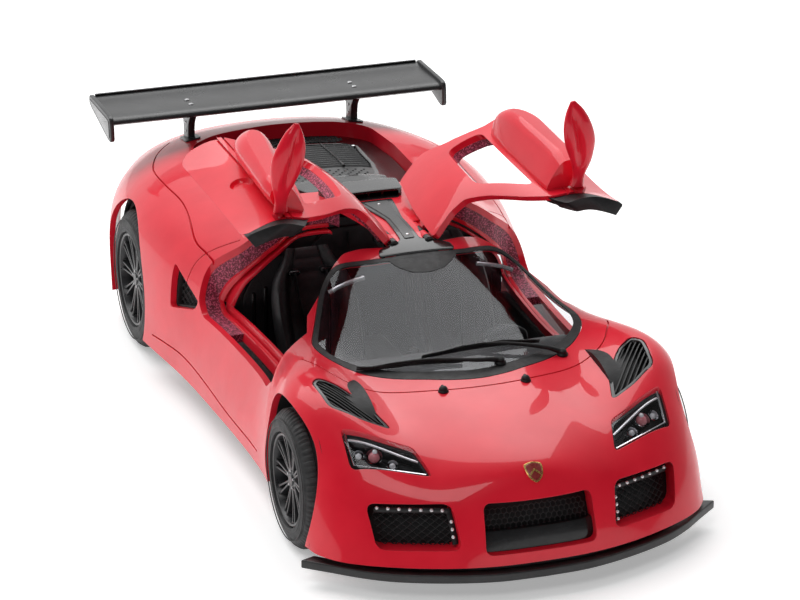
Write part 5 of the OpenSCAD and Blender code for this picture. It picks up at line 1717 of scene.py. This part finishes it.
def make_dashboard():
    profile = curve([(-49.5, 22), (-50, 26.6), (-47, 28.0), (-40, 28.4), (-34.8, 28.0), (-32.2, 26.2),
                     (-32.8, 23.6), (-34.6, 21.4), (-40, 20.3)], 5, closed=True)
    parts = [painted(bevelled(prism(profile, "x", -26, 26), 0.3), CABIN_BLACK)]
    hood = [(10.2, -33.2, 27.2), (10.9, -33.4, 29.2), (14, -33.6, 30.2), (17.1, -33.4, 29.2),
            (17.8, -33.2, 27.2)]
    parts.append(painted(tube(curve(hood, 5), 0.75, 12, up=(0, 1, 0)), MATT_BLACK))
    parts.append(painted(box((10.8, -33.9, 26.6), (17.2, -32.9, 29.4), 0.3), GLOSS_BLACK))
    for x, r in ((12.6, 1.0), (15.4, 1.15)):
        parts.append(painted(lathe([(-32.95, r - 0.18), (-32.6, r - 0.05), (-32.6, r + 0.1),
                                    (-32.95, r + 0.15)],
                                   (x, 0, 27.9), "y", 32), CHROME))
        needle = [(x, -32.75, 27.9), (x + 0.45, -32.75, 28.5)]
        parts.append(painted(tube(needle, 0.09, 6), PINK_BULB))
    for x in (-21, -7, 7, 22):
        parts.append(painted(lathe([(-32.6, 0.9), (-32.0, 1.35), (-31.8, 1.35), (-31.8, 1.1), (-32.4, 0.85),
                                    (-32.9, 0.0), (-33.2, 0.0)], (x, 0, 25.4), "y", 28, closed=False),
                                    GLOSS_BLACK))
    parts.append(painted(box((-3.3, -32.4, 22.5), (3.3, -31.6, 26.3), 0.3), GLOSS_BLACK))
    console = turned(box((-3.4, -31.6, 14), (3.4, -28.6, 22.8), 0.5), 15, "X", (0, -31.6, 14))
    parts.append(painted(console, CABIN_BLACK))
    for k in range(3):
        for j in (-1, 0, 1):
            parts.append(painted(disc((j * 1.9, -30.2 + 0.55 * (2 - k), 16 + 2 * k), 0.55, "y", 0.35,
                                      bevel=0.1, steps=18), GLOSS_BLACK))
    piece("dashboard_detail", parts, replaces="dashboard")


def make_steering_wheel():
    turns = np.linspace(0, 2 * math.pi, 64, endpoint=False)
    rim_path = [(5.2 * math.cos(a), 5.2 * math.sin(a), 0) for a in turns]
    parts = [painted(tube(rim_path, 0.66, 14, loop=True), MATT_BLACK)]
    for a in (90, 210, 330):
        spoke = loft([[(1.0, -0.9, 0.0), (1.0, 0.9, 0.0), (1.0, 0.9, 0.5), (1.0, -0.9, 0.5)],
                      [(3.2, -0.45, 0.0), (3.2, 0.45, 0.0), (3.2, 0.45, 0.4), (3.2, -0.45, 0.4)],
                      [(5.0, -0.6, -0.15), (5.0, 0.6, -0.15), (5.0, 0.6, 0.25), (5.0, -0.6, 0.25)]])
        parts.append(painted(turned(spoke, a, "Z"), STEEL))
    parts.append(painted(lathe([(-0.9, 0), (-0.9, 1.7), (0.5, 1.75), (0.85, 1.5), (0.95, 0.9), (0.8, 0.0)],
                               (0, 0, 0), "z", 36, closed=False), MATT_BLACK))
    parts.append(painted(tube([(0, 0, -0.5), (0, 0, -4.2)], [0.75, 0.9], 20), CABIN_BLACK))
    wheel = joined(parts)
    moved(wheel, Matrix.Translation((14, -29.5, 25)) @ Matrix.Rotation(math.radians(-68), 4, "X"))
    piece("steering_wheel_detail", wheel, replaces="steering_wheel", angle=45)


def make_gear_lever():
    parts = [painted(lathe([(13.9, 2.4), (14.3, 2.2), (15.0, 1.5), (15.9, 1.25), (16.3, 0.8), (16.4, 0.5),
                            (16.4, 0), (13.9, 0)], (0, -16, 0), "z", 28, closed=False), MATT_BLACK),
             painted(tube([(0, -16, 16), (0, -16.2, 18.5), (0, -16.1, 20)], 0.42, 12), STEEL),
             painted(ball((0, -16.1, 20.5), 1.2, (1, 1, 1.05), detail=24), GLOSS_BLACK)]
    piece("gear_lever_detail", parts, replaces="gear_lever")


def make_liners():
    """The linings of the wheel housings, open at the side and below."""
    for end, hub, r, low, inner in (("front", FRONT_HUB, FRONT_ARCH_R, 18.3, 24),
                                    ("rear", REAR_HUB, REAR_ARCH_R, 8, 23.6)):
        for side in SIDES:
            cup = lathe([(inner, 0), (inner, r + 0.8), (36.6, r + 0.8), (36.6, r + 0.15),
                         (inner + 0.7, r + 0.15), (inner + 0.7, 0)], (0, hub[1], hub[2]), "x", 96,
                         closed=False)
            inside(cup, box((20, -100, low), (40, 100, 40)))
            piece(f"{end}_wheel_liner_{SIDE_NAME[side]}", cup, MATT_BLACK, side=side)


make_tub()
make_bulkhead()
make_dashboard()
make_steering_wheel()
make_gear_lever()
make_liners()
for each_side in SIDES:
    make_seat(each_side)


# ---------------------------------------------------------------- underside and frame nodes that stay

KEPT = {"chassis_plate": BASE_BLACK, "hinge_bracket": GLOSS_BLACK, "door_pins": GLOSS_BLACK,
        "hinge_arm_left": PAINT, "hinge_arm_right": PAINT, "front_axle_shaft": STEEL,
        "rear_axle_shaft": STEEL}


def finish_kept_nodes():
    for name, used in KEPT.items():
        ob = frame["nodes"][name]
        if not ob.material_slots:
            ob.data.materials.append(used)
        for slot in ob.material_slots:
            slot.material = used


def make_screws():
    """Cross-head screws sunk into the base."""
    parts = []
    for s in SIDES:
        for x, y in SCREW_PLACES:
            head = lathe([(3.65, 0.0), (3.62, 1.3), (3.8, 1.6), (4.3, 1.65), (4.5, 1.4), (4.5, 0.8),
                          (9, 0.78), (9.2, 0.5), (9.2, 0.0)], (s * x, y, 0), "z", 32, closed=False)
            minus(head, box((s * x - 0.95, y - 0.18, 3), (s * x + 0.95, y + 0.18, 4.1)),
                  box((s * x - 0.18, y - 0.95, 3), (s * x + 0.18, y + 0.95, 4.1)))
            parts.append(head)
    piece("base_screw_heads", parts, STEEL, replaces="base_screws")


def make_underside():
    """Raised ribs, a gearbox outline and plain panels on the flat base."""
    parts = []
    for s in SIDES:
        for y in (-30, -18, -6, 6, 18):
            parts.append(box((s * 8, y - 0.5, 3.35), (s * 31, y + 0.5, 3.7), 0.12))
        parts.append(box((s * 31.5, -32, 3.3), (s * 33, 32, 3.7), 0.15))
        parts.append(box((s * 6.4, -62, 3.35), (s * 7.4, 66, 3.7), 0.12))
        for y in (-55.0, 57.5):
            parts.append(disc((s * 19, y, 3.55), 3.1, "z", 0.2, bevel=0.1))
    parts.append(bevelled(prism(rounded([[-5.5, 36], [5.5, 36], [4.5, 70], [-4.5, 70]], 1.5), "z", 3.2, 3.7),
                          0.2))
    parts.append(bevelled(prism(rounded([[-5.2, -14], [5.2, -14], [5.2, 14], [-5.2, 14]], 1), "z", 3.3, 3.7),
                          0.15))
    piece("underside_ribs", parts, BASE_BLACK)


finish_kept_nodes()
make_screws()
make_underside()
